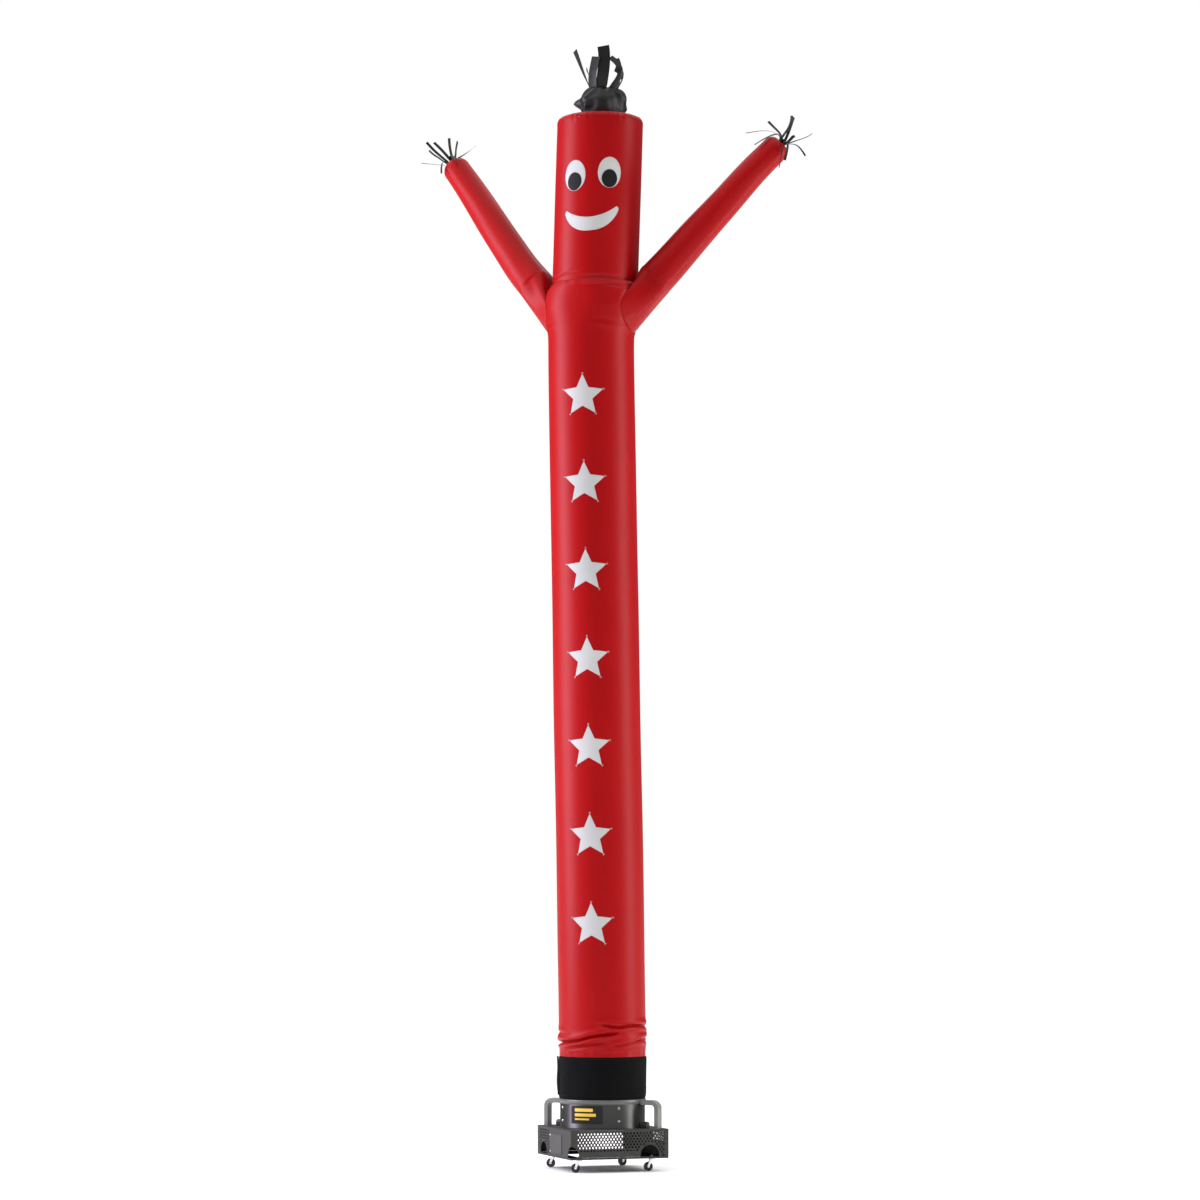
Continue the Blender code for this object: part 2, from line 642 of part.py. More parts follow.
# ---- duct ---------------------------------------------------------------
inner = DUCT_R - DUCT_T
add("duct", turned([
    (inner, BOX_Z1 + GAP), (DUCT_R, BOX_Z1 + GAP), (DUCT_R, RIM_Z0 - 0.005),
    (inner + 0.0008, RIM_Z0 - 0.0044), (inner + 0.0008, RIM_Z0),
    (RIM_R - 0.0030, RIM_Z0), (RIM_R, RIM_Z0 + 0.0050), (RIM_R, RIM_Z1 - 0.0050),
    (RIM_R - 0.0040, RIM_Z1), (inner + 0.0008, RIM_Z1), (inner + 0.0008, DUCT_TOP),
    (inner - 0.0012, DUCT_TOP), (inner - 0.0012, RIM_Z0 - 0.0080), (inner, RIM_Z0 - 0.0100),
], 40), "duct_grey", blower)

label = []
for half in (1, -1):
    r = DUCT_R + GAP + (0.0008 if half > 0 else 0.0)
    row = [(math.radians(LABEL_TURN - 90 + LABEL_HALF_ANGLE * (k / 6 - 1)), r) for k in range(13)]
    label += [(r * math.cos(w), r * math.sin(w)) for w, r in (row if half > 0 else row[::-1])]
add("label", prism(label, LABEL_Z0, LABEL_Z1, lambda a, b, c: (a, b, c)),
    "label_black", blower)

bolt = lathe([(BOLT_R, 0.0), (BOLT_R, BOLT_H * 0.45), (BOLT_R * 0.8, BOLT_H * 0.8),
              (BOLT_R * 0.4, BOLT_H)], 10)
bmesh.ops.recalc_face_normals(bolt, faces=bolt.faces[:])
bolt_mesh = bpy.data.meshes.new("bolt")
bolt.to_mesh(bolt_mesh)
bolt.free()
for k in range(4):
    turn = math.radians(LABEL_TURN - 45 + 90 * k)
    for level, z in zip(("low", "high"), BOLT_Z):
        obj = place("bolt_%d_%s" % (k + 1, level), bolt_mesh, "bolt_zinc", blower)
        obj.matrix_local = (Matrix.Translation((math.cos(turn) * (DUCT_R + GAP),
                                                math.sin(turn) * (DUCT_R + GAP), z))
                            @ Matrix.Rotation(turn, 4, "Z") @ Matrix.Rotation(math.pi / 2, 4, "Y"))

# ---- handles and feet ---------------------------------------------------
def arc(cx, cz, r, a0, a1, n):
    return [(cx + r * math.cos(math.radians(a0 + (a1 - a0) * i / n)),
             cz + r * math.sin(math.radians(a0 + (a1 - a0) * i / n))) for i in range(n + 1)]


out_bend, in_bend = 0.0430, 0.0180
foot_z = BOX_Z1 + GAP
start_r = RIM_R + GAP
outline = [(start_r, HANDLE_TOP)]
outline += arc(HANDLE_OUT_R - out_bend, HANDLE_TOP - out_bend, out_bend, 90, 0, 6)
outline += [(HANDLE_OUT_R, foot_z), (HANDLE_OUT_R - HANDLE_T, foot_z)]
outline += arc(HANDLE_OUT_R - HANDLE_T - in_bend, HANDLE_TOP - HANDLE_T - in_bend,
               in_bend, 0, 90, 4)
outline += [(start_r, HANDLE_TOP - HANDLE_T)]
foot = [(-FOOT_W / 2, foot_z), (-FOOT_W / 2, foot_z + FOOT_H - FOOT_W / 2 + 0.004)]
foot += arc(0, foot_z + FOOT_H - FOOT_W / 2 + 0.004, FOOT_W / 2, 165, 15, 6)
foot = [(a, min(b, foot_z + FOOT_H)) for a, b in foot]
foot += [(FOOT_W / 2, foot_z + FOOT_H - FOOT_W / 2 + 0.004), (FOOT_W / 2, foot_z)]
for side, sign in (("right", 1), ("left", -1)):
    add("handle_" + side, prism(outline, -HANDLE_W / 2, HANDLE_W / 2,
                                lambda a, b, c, k=sign: (k * a, c, b)), "handle_grey", blower)
    add("duct_foot_" + side, prism(foot, DUCT_R + 2 * GAP, FOOT_OUT_R,
                                   lambda a, b, c, k=sign: (k * c, a, b)), "duct_grey", blower)

# ---- box ----------------------------------------------------------------
# the box frame is turned 45 degrees, so that a corner of the box is in front
box = empty("box_frame", blower, (0, 0, 0), math.radians(45))
H = BOX_HALF


def square(n, half, z):
    """n points round a square of the given half side, corners included."""
    pts = []
    for i in range(n):
        w = 2 * math.pi * i / n
        k = half / max(abs(math.cos(w)), abs(math.sin(w)))
        pts.append((k * math.cos(w), k * math.sin(w), z))
    return pts


add("top_plate", loops_mesh([square(40, H, BOX_Z1 - TOP_T), square(40, H, BOX_Z1),
                             circle(40, TOP_HOLE_R, BOX_Z1),
                             circle(40, TOP_HOLE_R, BOX_Z1 - TOP_T)], True), "box_grey", box)

frame_rows = [(H, BOX_Z0), (H, BOX_Z0 + LIP_H), (H - SHEET, BOX_Z0 + LIP_H),
              (H - SHEET, BOX_Z0 + SHEET), (H - RING_W, BOX_Z0 + SHEET), (H - RING_W, BOX_Z0)]
base = add("base_frame", loops_mesh([square(8, h, z) for h, z in frame_rows], True),
           "box_grey", box)

p0 = BOX_Z0 + LIP_H + GAP
p1 = BOX_Z1 - TOP_T - GAP


def panel_outline(end, arches):
    """Half-arch at the corner where two panels meet over a caster, and a
    whole arch near the other corner. The back panels are plain."""
    arch_c = H - ARCH_FROM_CORNER
    lo = -end
    if not arches:
        return [(lo, p1), (lo, p0), (end, p0), (end, p1)]
    pts = [(lo, p1), (lo, p0 + NOTCH_H)]
    for i in range(1, 6):
        w = math.pi / 2 * i / 6
        pts.append((-H + NOTCH_W * math.sin(w), p0 + NOTCH_H * math.cos(w)))
    pts.append((-H + NOTCH_W, p0))
    pts.append((arch_c - ARCH_R, p0))
    pts += arc(arch_c, p0 + ARCH_RISE, ARCH_R, 180, 0, 10)
    pts += [(arch_c + ARCH_R, p0), (end, p0), (end, p1)]
    return pts


PANELS = (
    # name               half length     plate to box frame                 arches
    ("panel_front_right", H, lambda s, z, d: (s, -H + d, z), True),
    ("panel_front_left", H - SHEET - GAP, lambda s, z, d: (-H + d, s, z), True),
    ("panel_back_right", H - SHEET - GAP, lambda s, z, d: (H - d, -s, z), False),
    ("panel_back_left", H, lambda s, z, d: (-s, H - d, z), False),
)
for name, end, axes, arches in PANELS:
    add(name, prism(panel_outline(end, arches), 0.0, SHEET, axes), "box_grey", box)

add("inlet_cover", prism([(COVER_S0, COVER_Z0), (COVER_S1, COVER_Z0),
                          (COVER_S1, COVER_Z1), (COVER_S0, COVER_Z1)],
                         GAP, GAP + SHEET, lambda s, z, d: (-H - d, s, z)), "cover_grey", box)
screw = lathe([(0.0050, 0.0), (0.0050, 0.0012), (0.0040, 0.0026), (0.0020, 0.0032)], 10)
bmesh.ops.recalc_face_normals(screw, faces=screw.faces[:])
screw_mesh = bpy.data.meshes.new("screw")
screw.to_mesh(screw_mesh)
screw.free()
for level, z in (("low", COVER_Z0 + 0.009), ("high", COVER_Z1 - 0.009)):
    obj = place("cover_screw_" + level, screw_mesh, "bolt_zinc", box)
    obj.matrix_local = (Matrix.Translation((-H - SHEET - 2 * GAP, COVER_S1 - 0.010, z))
                        @ Matrix.Rotation(-math.pi / 2, 4, "Y"))

# ---- casters ------------------------------------------------------------
wheel_z = WHEEL_R * math.cos(math.pi / WHEEL_SEG)
fork_top = BOX_Z0 - 0.0010
fork_low = fork_top - 0.0070
leg_in = WHEEL_W / 2 + 0.0020
leg_out = leg_in + 0.0020

# fork: a bent strap whose legs hold the axle, swivelling on the stem
legs = [(-0.0080, fork_top), (-TRAIL - 0.0060, wheel_z + 0.0020), (-TRAIL - 0.0042, wheel_z - 0.0045),
        (-TRAIL + 0.0042, wheel_z - 0.0045), (-TRAIL + 0.0070, wheel_z + 0.0040), (0.0120, fork_top)]
leg_parts = [
    prism(legs, leg_in, leg_out, lambda a, b, c: (c, a, b)),
    prism(legs, -leg_out, -leg_in, lambda a, b, c: (c, a, b)),
    loops_mesh([[(x, -TRAIL + PIN_R * math.cos(w), wheel_z + PIN_R * math.sin(w))
                 for w in (2 * math.pi * i / 12 for i in range(12))]
                for x in (-leg_out - 0.0020, leg_out + 0.0020)], False),
]
crown_bm = turned([(STEM_BORE, fork_low), (0.0165, fork_low), (0.0165, fork_top - 0.0015),
                   (0.0150, fork_top), (STEM_BORE, fork_top)], 16)
fork = guide(add("fork_pattern", crown_bm, "fork_chrome"))
for i, bm in enumerate(leg_parts):
    other = guide(add("fork_piece_%d" % i, bm, "fork_chrome"))
    boolean(fork, other, "UNION")
bpy.context.view_layer.update()
fork_mesh = baked(fork)

wheel_profile = [
    (BORE_R, -0.50), (0.0080, -0.50), (0.0165, -0.36), (0.0225, -0.50), (WHEEL_R, -0.34),
    (WHEEL_R, 0.34), (0.0225, 0.50), (0.0165, 0.36), (0.0080, 0.50), (BORE_R, 0.50)]
wheel_bm = loops_mesh([[(WHEEL_W * k, r * math.cos(w), r * math.sin(w))
                        for w in (2 * math.pi * (i + 0.5) / WHEEL_SEG for i in range(WHEEL_SEG))]
                       for r, k in wheel_profile], True)
bmesh.ops.recalc_face_normals(wheel_bm, faces=wheel_bm.faces[:])
wheel_mesh = bpy.data.meshes.new("wheel")
wheel_bm.to_mesh(wheel_mesh)
wheel_bm.free()

stem_bm = lathe([(0.0070, fork_low - 0.0034), (0.0070, fork_low - GAP), (STEM_R, fork_low - GAP),
                 (STEM_R, BOX_Z0 + SHEET + GAP), (0.0085, BOX_Z0 + SHEET + GAP),
                 (0.0085, BOX_Z0 + SHEET + 0.0080), (0.0060, BOX_Z0 + SHEET + 0.0120)], 12)
bmesh.ops.recalc_face_normals(stem_bm, faces=stem_bm.faces[:])
stem_mesh = bpy.data.meshes.new("stem")
stem_bm.to_mesh(stem_mesh)
stem_bm.free()

hole_bm = lathe([(STEM_BORE, BOX_Z0 - 0.01), (STEM_BORE, BOX_Z0 + 0.01)], 12)
bmesh.ops.recalc_face_normals(hole_bm, faces=hole_bm.faces[:])
hole_mesh = bpy.data.meshes.new("stem_hole")
hole_bm.to_mesh(hole_mesh)
hole_bm.free()

CASTERS = (
    # name   place round the blower   way the fork trails, degrees
    ("front", -90.0, -65.0),
    ("right", 0.0, -56.0),
    ("back", 90.0, -44.0),
    ("left", 180.0, -76.0),
)
for name, around, trail in CASTERS:
    w = math.radians(around)
    at = (CASTER_AT * math.cos(w), CASTER_AT * math.sin(w), 0.0)
    swivel = empty("swivel_" + name, blower, at, math.radians(trail))
    place("caster_stem_" + name, stem_mesh, "bolt_zinc", swivel)
    place("caster_fork_" + name, fork_mesh, "fork_chrome", swivel)
    place("caster_wheel_" + name, wheel_mesh, "wheel_rubber", swivel, (0, -TRAIL, wheel_z))
    cutter = guide(place("hole_" + name, hole_mesh, "box_grey", swivel))
    boolean(base, cutter, "DIFFERENCE")

bpy.context.view_layer.update()
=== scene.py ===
import math

import bmesh
import bpy
import numpy as np
from mathutils import Matrix, Vector, noise


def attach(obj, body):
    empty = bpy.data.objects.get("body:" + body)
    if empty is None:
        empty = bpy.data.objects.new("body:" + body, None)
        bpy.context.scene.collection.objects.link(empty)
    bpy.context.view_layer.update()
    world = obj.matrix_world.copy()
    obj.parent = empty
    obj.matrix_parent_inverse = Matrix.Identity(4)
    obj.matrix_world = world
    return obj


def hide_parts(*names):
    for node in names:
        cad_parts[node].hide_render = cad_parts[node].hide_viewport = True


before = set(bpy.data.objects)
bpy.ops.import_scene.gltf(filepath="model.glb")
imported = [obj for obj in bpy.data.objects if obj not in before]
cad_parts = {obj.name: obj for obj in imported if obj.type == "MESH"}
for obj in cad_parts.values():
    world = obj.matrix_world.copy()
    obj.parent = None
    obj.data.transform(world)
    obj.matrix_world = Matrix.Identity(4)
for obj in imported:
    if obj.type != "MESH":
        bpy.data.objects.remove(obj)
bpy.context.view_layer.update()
scene = bpy.context.scene

# ---- sizes, the same as the solids' ---------------------------------------
AX, AY = -0.0261, -0.0693        # blower axis
TURN = math.radians(-13.5)       # blower turned under the figure
TUBE_R = 0.2350
CAM_TURN = math.radians(12.0)

TORSO = (
    # z      x        r
    (0.6056, 0.0000, 0.2318), (0.6250, 0.0000, 0.2322), (0.6450, 0.0000, 0.2335),
    (0.6700, 0.0000, 0.2345), (0.6950, -0.0010, 0.2360), (0.7250, -0.0010, 0.2362),
    (0.7600, -0.0020, 0.2350), (0.8000, -0.0025, 0.2350), (0.8800, -0.0035, 0.2350),
    (1.7000, -0.0171, 0.2350), (2.6000, -0.0320, 0.2350), (3.5000, -0.0470, 0.2350),
    (4.4500, -0.0628, 0.2350), (4.5000, -0.0624, 0.2350), (4.5500, -0.0603, 0.2350),
    (4.6180, -0.0564, 0.2350), (4.6700, -0.0532, 0.2350), (4.7130, -0.0487, 0.2350),
    (4.7400, -0.0460, 0.2350), (4.7600, -0.0440, 0.2350), (4.7880, -0.0418, 0.2345),
    (4.8000, -0.0410, 0.2310),
)
# how far the arms pull the body out at their seams
SHOULDER = (
    # z      out
    (4.4600, 0.0000), (4.5000, 0.0010), (4.5500, 0.0090), (4.6180, 0.0260), (4.6700, 0.0370),
    (4.7130, 0.0380), (4.7400, 0.0330), (4.7600, 0.0260), (4.7880, 0.0080), (4.8000, 0.0000),
)
HEAD = (
    (4.8006, -0.0410, 0.2310), (4.8140, -0.0405, 0.2340), (4.8400, -0.0397, 0.2350),
    (5.1300, -0.0305, 0.2350), (5.4200, -0.0214, 0.2350), (5.6894, -0.0128, 0.2350),
)
ARM_RIGHT = (
    # x      y       z       r
    (0.3040, -0.0180, 4.8230, 0.0990), (0.3805, -0.0120, 4.9030, 0.0960),
    (0.5028, -0.0060, 5.0360, 0.0905), (0.6670, 0.0000, 5.2130, 0.0825),
    (0.8333, 0.0000, 5.3910, 0.0780), (0.9550, 0.0000, 5.5060, 0.0755),
)
ARM_LEFT = (
    (-0.3900, 0.0650, 4.8230, 0.0990), (-0.4743, 0.1120, 4.9220, 0.0960),
    (-0.5799, 0.1760, 5.0660, 0.0905), (-0.7483, 0.2830, 5.3100, 0.0825),
    (-0.8450, 0.3420, 5.4450, 0.0780), (-0.9180, 0.3850, 5.5440, 0.0755),
)
ARM_END = {"right": ((0.9950, 0.0000, 5.5435), (0.9760, 0.0000, 5.5260)),
           "left": ((-0.9460, 0.4015, 5.5840), (-0.9330, 0.3940, 5.5650))}
ARM_ROOT_Z, ROOT_HALF_H, ROOT_HALF_W = 4.6600, 0.1320, 0.1480
ARM_AROUND = {1: 83.0, -1: -102.0}   # arm holes, degrees from -Y towards +X


# ---- small tools ------------------------------------------------------------
def hermite(x, xs, ys):
    """Smooth curve through the rows of a table, flat where the table is flat."""
    xs, ys = np.asarray(xs, float), np.asarray(ys, float)
    slope = np.diff(ys) / np.diff(xs)
    m = np.zeros(len(xs))
    m[1:-1] = np.where(slope[:-1] * slope[1:] > 0,
                       2 * slope[:-1] * slope[1:] / (slope[:-1] + slope[1:] + 1e-12), 0)
    m[0], m[-1] = slope[0], slope[-1]
    x = np.clip(x, xs[0], xs[-1])
    k = np.clip(np.searchsorted(xs, x) - 1, 0, len(xs) - 2)
    h = xs[k + 1] - xs[k]
    t = (x - xs[k]) / h
    return (ys[k] * (1 + 2 * t) * (1 - t) ** 2 + m[k] * h * t * (1 - t) ** 2
            + ys[k + 1] * t * t * (3 - 2 * t) + m[k + 1] * h * t * t * (t - 1))


def column(rows, k):
    return [row[k] for row in rows]


def bell(x, width):
    return np.exp(-(np.asarray(x, float) / width) ** 2)


def wrap(a):
    return (np.asarray(a) + math.pi) % (2 * math.pi) - math.pi


def new_object(name, verts, faces, mat=None, smooth=True, uvs=None):
    mesh = bpy.data.meshes.new(name)
    mesh.from_pydata([tuple(v) for v in verts], [], [tuple(f) for f in faces])
    mesh.validate()
    if uvs is not None:
        layer = mesh.uv_layers.new(name="UVMap")
        flat = np.asarray(uvs, np.float32)
        loop_v = np.zeros(len(mesh.loops), np.int32)
        mesh.loops.foreach_get("vertex_index", loop_v)
        layer.data.foreach_set("uv", flat[loop_v].ravel())
    obj = bpy.data.objects.new(name, mesh)
    scene.collection.objects.link(obj)
    if smooth:
        mesh.shade_smooth()
    if mat is not None:
        mesh.materials.append(mat)
    return obj


def from_bmesh(name, bm, mat=None, smooth=True, outward=True):
    if outward:
        bmesh.ops.recalc_face_normals(bm, faces=bm.faces[:])
    mesh = bpy.data.meshes.new(name)
    bm.to_mesh(mesh)
    bm.free()
    obj = bpy.data.objects.new(name, mesh)
    scene.collection.objects.link(obj)
    if smooth:
        mesh.shade_smooth()
        mesh.set_sharp_from_angle(angle=math.radians(35))
    if mat is not None:
        mesh.materials.append(mat)
    return obj


def apply_all(obj):
    """The object's mesh with its modifiers applied."""
    deps = bpy.context.evaluated_depsgraph_get()
    mesh = bpy.data.meshes.new_from_object(obj.evaluated_get(deps))
    old = obj.data
    obj.modifiers.clear()
    obj.data = mesh
    mesh.name = obj.name
    if old.users == 0:
        bpy.data.meshes.remove(old)
    return obj


def bevelled(obj, width, segments=2, angle=35):
    mod = obj.modifiers.new("Bevel", "BEVEL")
    mod.width = width
    mod.segments = segments
    mod.limit_method = "ANGLE"
    mod.angle_limit = math.radians(angle)
    mod.harden_normals = True
    apply_all(obj)
    return obj


def loops_mesh(loops, ring):
    bm = bmesh.new()
    rows = [[bm.verts.new(p) for p in loop] for loop in loops]
    n = len(rows[0])
    pairs = list(zip(rows, rows[1:]))
    if ring:
        pairs.append((rows[-1], rows[0]))
    for a, b in pairs:
        for i in range(n):
            j = (i + 1) % n
            bm.faces.new((a[i], a[j], b[j], b[i]))
    if not ring:
        bm.faces.new(rows[0])
        bm.faces.new(rows[-1])
    return bm


def circle(n, r, z):
    return [(r * math.cos(2 * math.pi * i / n), r * math.sin(2 * math.pi * i / n), z)
            for i in range(n)]


def turned(profile, n):
    return loops_mesh([circle(n, r, z) for r, z in profile], True)


def lathe(profile, n):
    return loops_mesh([circle(n, r, z) for r, z in profile], False)


def prism(outline, lo, hi, axes):
    return loops_mesh([[axes(a, b, lo) for a, b in outline],
                       [axes(a, b, hi) for a, b in outline]], False)


def arc(cx, cz, r, a0, a1, n):
    return [(cx + r * math.cos(math.radians(a0 + (a1 - a0) * i / n)),
             cz + r * math.sin(math.radians(a0 + (a1 - a0) * i / n))) for i in range(n + 1)]


def joined(name, parts, mat=None):
    """One object from several, with their transforms applied."""
    bm = bmesh.new()
    mats = []
    for o in parts:
        mesh = o.data.copy()
        mesh.transform(o.matrix_world)
        base = len(mats)
        mats += [m for m in mesh.materials]
        before = len(bm.faces)
        bm.from_mesh(mesh)
        bm.faces.ensure_lookup_table()
        for f in bm.faces[before:]:
            f.material_index += base
        bpy.data.meshes.remove(mesh)
    for o in parts:
        bpy.data.objects.remove(o)
    obj = from_bmesh(name, bm, None, smooth=False, outward=False)
    for m in mats:
        obj.data.materials.append(m)
    if mat is not None:
        obj.data.materials.clear()
        obj.data.materials.append(mat)
        for f in obj.data.polygons:
            f.material_index = 0
    return obj


# ---- materials ----------------------------------------------------------------
def base_material(name, rough, metal=0.0, sheen=0.0, coat=0.0, specular=0.5):
    mat = bpy.data.materials.new(name)
    mat.use_nodes = True
    bsdf = mat.node_tree.nodes["Principled BSDF"]
    bsdf.inputs["Roughness"].default_value = rough
    bsdf.inputs["Metallic"].default_value = metal
    bsdf.inputs["Specular IOR Level"].default_value = specular
    if sheen:
        bsdf.inputs["Sheen Weight"].default_value = sheen
        bsdf.inputs["Sheen Roughness"].default_value = 0.4
    if coat:
        bsdf.inputs["Coat Weight"].default_value = coat
        bsdf.inputs["Coat Roughness"].default_value = 0.2
    return mat, mat.node_tree.nodes, mat.node_tree.links, bsdf


def noise_node(nodes, links, coord, scale, detail=3.0, rough=0.55, stretch=None):
    tex = nodes.new("ShaderNodeTexNoise")
    tex.inputs["Scale"].default_value = scale
    tex.inputs["Detail"].default_value = detail
    tex.inputs["Roughness"].default_value = rough
    if stretch:
        mapping = nodes.new("ShaderNodeMapping")
        mapping.inputs["Scale"].default_value = stretch
        links.new(coord, mapping.inputs["Vector"])
        coord = mapping.outputs["Vector"]
    links.new(coord, tex.inputs["Vector"])
    return tex


def vary_colour(nodes, links, fac, dark, light, bsdf, lo=0.3, hi=0.7):
    ramp = nodes.new("ShaderNodeValToRGB")
    ramp.color_ramp.elements[0].position = lo
    ramp.color_ramp.elements[0].color = (*dark, 1)
    ramp.color_ramp.elements[1].position = hi
    ramp.color_ramp.elements[1].color = (*light, 1)
    links.new(fac, ramp.inputs["Fac"])
    if bsdf is not None:
        links.new(ramp.outputs["Color"], bsdf.inputs["Base Color"])
    return ramp


def vary_rough(nodes, links, fac, lo, hi, bsdf):
    rng = nodes.new("ShaderNodeMapRange")
    rng.inputs["To Min"].default_value = lo
    rng.inputs["To Max"].default_value = hi
    links.new(fac, rng.inputs["Value"])
    links.new(rng.outputs["Result"], bsdf.inputs["Roughness"])


def bump(nodes, links, height, distance, strength, before=None):
    node = nodes.new("ShaderNodeBump")
    node.inputs["Distance"].default_value = distance
    node.inputs["Strength"].default_value = strength
    links.new(height, node.inputs["Height"])
    if before is not None:
        links.new(before.outputs["Normal"], node.inputs["Normal"])
    return node


def weave_height(nodes, links, uv, pitch, power):
    """Raised threads of a ripstop grid, one every pitch metres both ways."""
    total = None
    for direction in ("X", "Y"):
        wave = nodes.new("ShaderNodeTexWave")
        wave.wave_type = "BANDS"
        wave.bands_direction = direction
        wave.inputs["Scale"].default_value = 0.31416 / pitch
        links.new(uv, wave.inputs["Vector"])
        sharp = nodes.new("ShaderNodeMath")
        sharp.operation = "POWER"
        sharp.inputs[1].default_value = power
        links.new(wave.outputs["Fac"], sharp.inputs[0])
        if total is None:
            total = sharp.outputs[0]
        else:
            add = nodes.new("ShaderNodeMath")
            add.operation = "MAXIMUM"
            links.new(total, add.inputs[0])
            links.new(sharp.outputs[0], add.inputs[1])
            total = add.outputs[0]
    return total


def cloth_material(name, dark, light, rough=(0.42, 0.52), sheen=0.0, pitch=0.005,
                   crumple=0.0012, specular=0.3, grid=0.35):
    mat, nodes, links, bsdf = base_material(name, sum(rough) / 2, sheen=sheen,
                                            specular=specular)
    coord = nodes.new("ShaderNodeTexCoord")
    uv, place = coord.outputs["UV"], coord.outputs["Object"]
    blotch = noise_node(nodes, links, place, 2.3, 4, 0.6)
    ramp = vary_colour(nodes, links, blotch.outputs["Fac"], dark, light, None, 0.32, 0.68)
    # the grid's thicker threads are a little darker between their crossings
    height = weave_height(nodes, links, uv, pitch, 14.0)
    shade = nodes.new("ShaderNodeMixRGB")
    shade.blend_type = "MULTIPLY"
    shade.inputs["Color2"].default_value = (0.80, 0.80, 0.80, 1)
    fac = nodes.new("ShaderNodeMath")
    fac.operation = "MULTIPLY"
    fac.inputs[1].default_value = grid
    links.new(height, fac.inputs[0])
    links.new(fac.outputs[0], shade.inputs["Fac"])
    links.new(ramp.outputs["Color"], shade.inputs["Color1"])
    links.new(shade.outputs["Color"], bsdf.inputs["Base Color"])
    grain = noise_node(nodes, links, place, 34.0, 5, 0.6)
    vary_rough(nodes, links, grain.outputs["Fac"], rough[0], rough[1], bsdf)
    soft = noise_node(nodes, links, place, 9.0, 3, 0.5, stretch=(1.0, 1.0, 0.45))
    one = bump(nodes, links, soft.outputs["Fac"], crumple, 0.5)
    two = bump(nodes, links, height, 0.00025, 0.35, one)
    fine = weave_height(nodes, links, uv, 0.0008, 1.0)
    three = bump(nodes, links, fine, 0.00006, 0.25, two)
    links.new(three.outputs["Normal"], bsdf.inputs["Normal"])
    return mat


def paint_material(name, dark, light, rough=(0.38, 0.55), metal=0.0, peel=0.00012,
                   edge_wear_and_highlight=(0.30, 0.30, 0.29), edge_wear_and_highlight_amount=0.5, specular=0.5):
    """Powder coat: fine orange peel, faint dust, edges painted a little bright, partly as rubbed wear and
    partly as a painted highlight.
    """
    mat, nodes, links, bsdf = base_material(name, sum(rough) / 2, metal=metal,
                                            specular=specular)
    coord = nodes.new("ShaderNodeTexCoord")
    place = coord.outputs["Object"]
    dust = noise_node(nodes, links, place, 7.0, 6, 0.6)
    ramp = vary_colour(nodes, links, dust.outputs["Fac"], dark, light, None)
    # sharp edges painted brighter by their pointiness: partly rubbed wear, partly a painted highlight
    geo = nodes.new("ShaderNodeNewGeometry")
    edge = nodes.new("ShaderNodeMapRange")
    edge.inputs["From Min"].default_value = 0.52
    edge.inputs["From Max"].default_value = 0.60
    edge.inputs["To Max"].default_value = edge_wear_and_highlight_amount
    links.new(geo.outputs["Pointiness"], edge.inputs["Value"])
    mix = nodes.new("ShaderNodeMixRGB")
    mix.inputs["Color2"].default_value = (*edge_wear_and_highlight, 1)
    links.new(edge.outputs["Result"], mix.inputs["Fac"])
    links.new(ramp.outputs["Color"], mix.inputs["Color1"])
    links.new(mix.outputs["Color"], bsdf.inputs["Base Color"])
    grain = noise_node(nodes, links, place, 60.0, 4, 0.6)
    vary_rough(nodes, links, grain.outputs["Fac"], rough[0], rough[1], bsdf)
    skin = noise_node(nodes, links, place, 420.0, 2, 0.5)
    node = bump(nodes, links, skin.outputs["Fac"], peel, 0.5)
    links.new(node.outputs["Normal"], bsdf.inputs["Normal"])
    return mat


def metal_material(name, dark, light, rough=(0.15, 0.32), brush=(1, 1, 6)):
    mat, nodes, links, bsdf = base_material(name, sum(rough) / 2, metal=1.0)
    coord = nodes.new("ShaderNodeTexCoord")
    place = coord.outputs["Object"]
    streak = noise_node(nodes, links, place, 120.0, 4, 0.6, stretch=brush)
    vary_colour(nodes, links, streak.outputs["Fac"], dark, light, bsdf)
    vary_rough(nodes, links, streak.outputs["Fac"], rough[0], rough[1], bsdf)
    node = bump(nodes, links, streak.outputs["Fac"], 0.00005, 0.4)
    links.new(node.outputs["Normal"], bsdf.inputs["Normal"])
    return mat


RED = cloth_material("red_nylon", (0.302, 0.0009, 0.0022), (0.335, 0.0013, 0.0029),
                     rough=(0.34, 0.42), crumple=0.0005, specular=0.13)
WHITE = cloth_material("white_cloth", (0.45, 0.455, 0.455), (0.51, 0.515, 0.51),
                       rough=(0.60, 0.75), crumple=0.0006, pitch=0.003)
BLACK = cloth_material("black_cloth", (0.0022, 0.0022, 0.0026), (0.0036, 0.0036, 0.0041),
                       rough=(0.72, 0.88), crumple=0.0008, pitch=0.0022, specular=0.07, grid=0.2)
PUPIL = cloth_material("black_patch", (0.0040, 0.0040, 0.0044), (0.0060, 0.0060, 0.0065),
                       rough=(0.55, 0.70), crumple=0.0006, pitch=0.003, specular=0.20)
RIBBON = cloth_material("black_nylon", (0.0040, 0.0040, 0.0040), (0.0080, 0.0080, 0.0080),
                        rough=(0.34, 0.46), crumple=0.0030, pitch=0.005, specular=0.28)
THREAD = cloth_material("red_thread", (0.29, 0.0030, 0.0050), (0.34, 0.0045, 0.0065),
                        rough=(0.50, 0.60), crumple=0.0002, pitch=0.001)
THREAD_WHITE = cloth_material("white_thread", (0.54, 0.54, 0.535), (0.62, 0.62, 0.61),
                              rough=(0.55, 0.65), crumple=0.0002, pitch=0.001)
THREAD_BLACK = cloth_material("black_thread", (0.012, 0.012, 0.012), (0.020, 0.020, 0.020),
                              rough=(0.55, 0.65), crumple=0.0002, pitch=0.001)
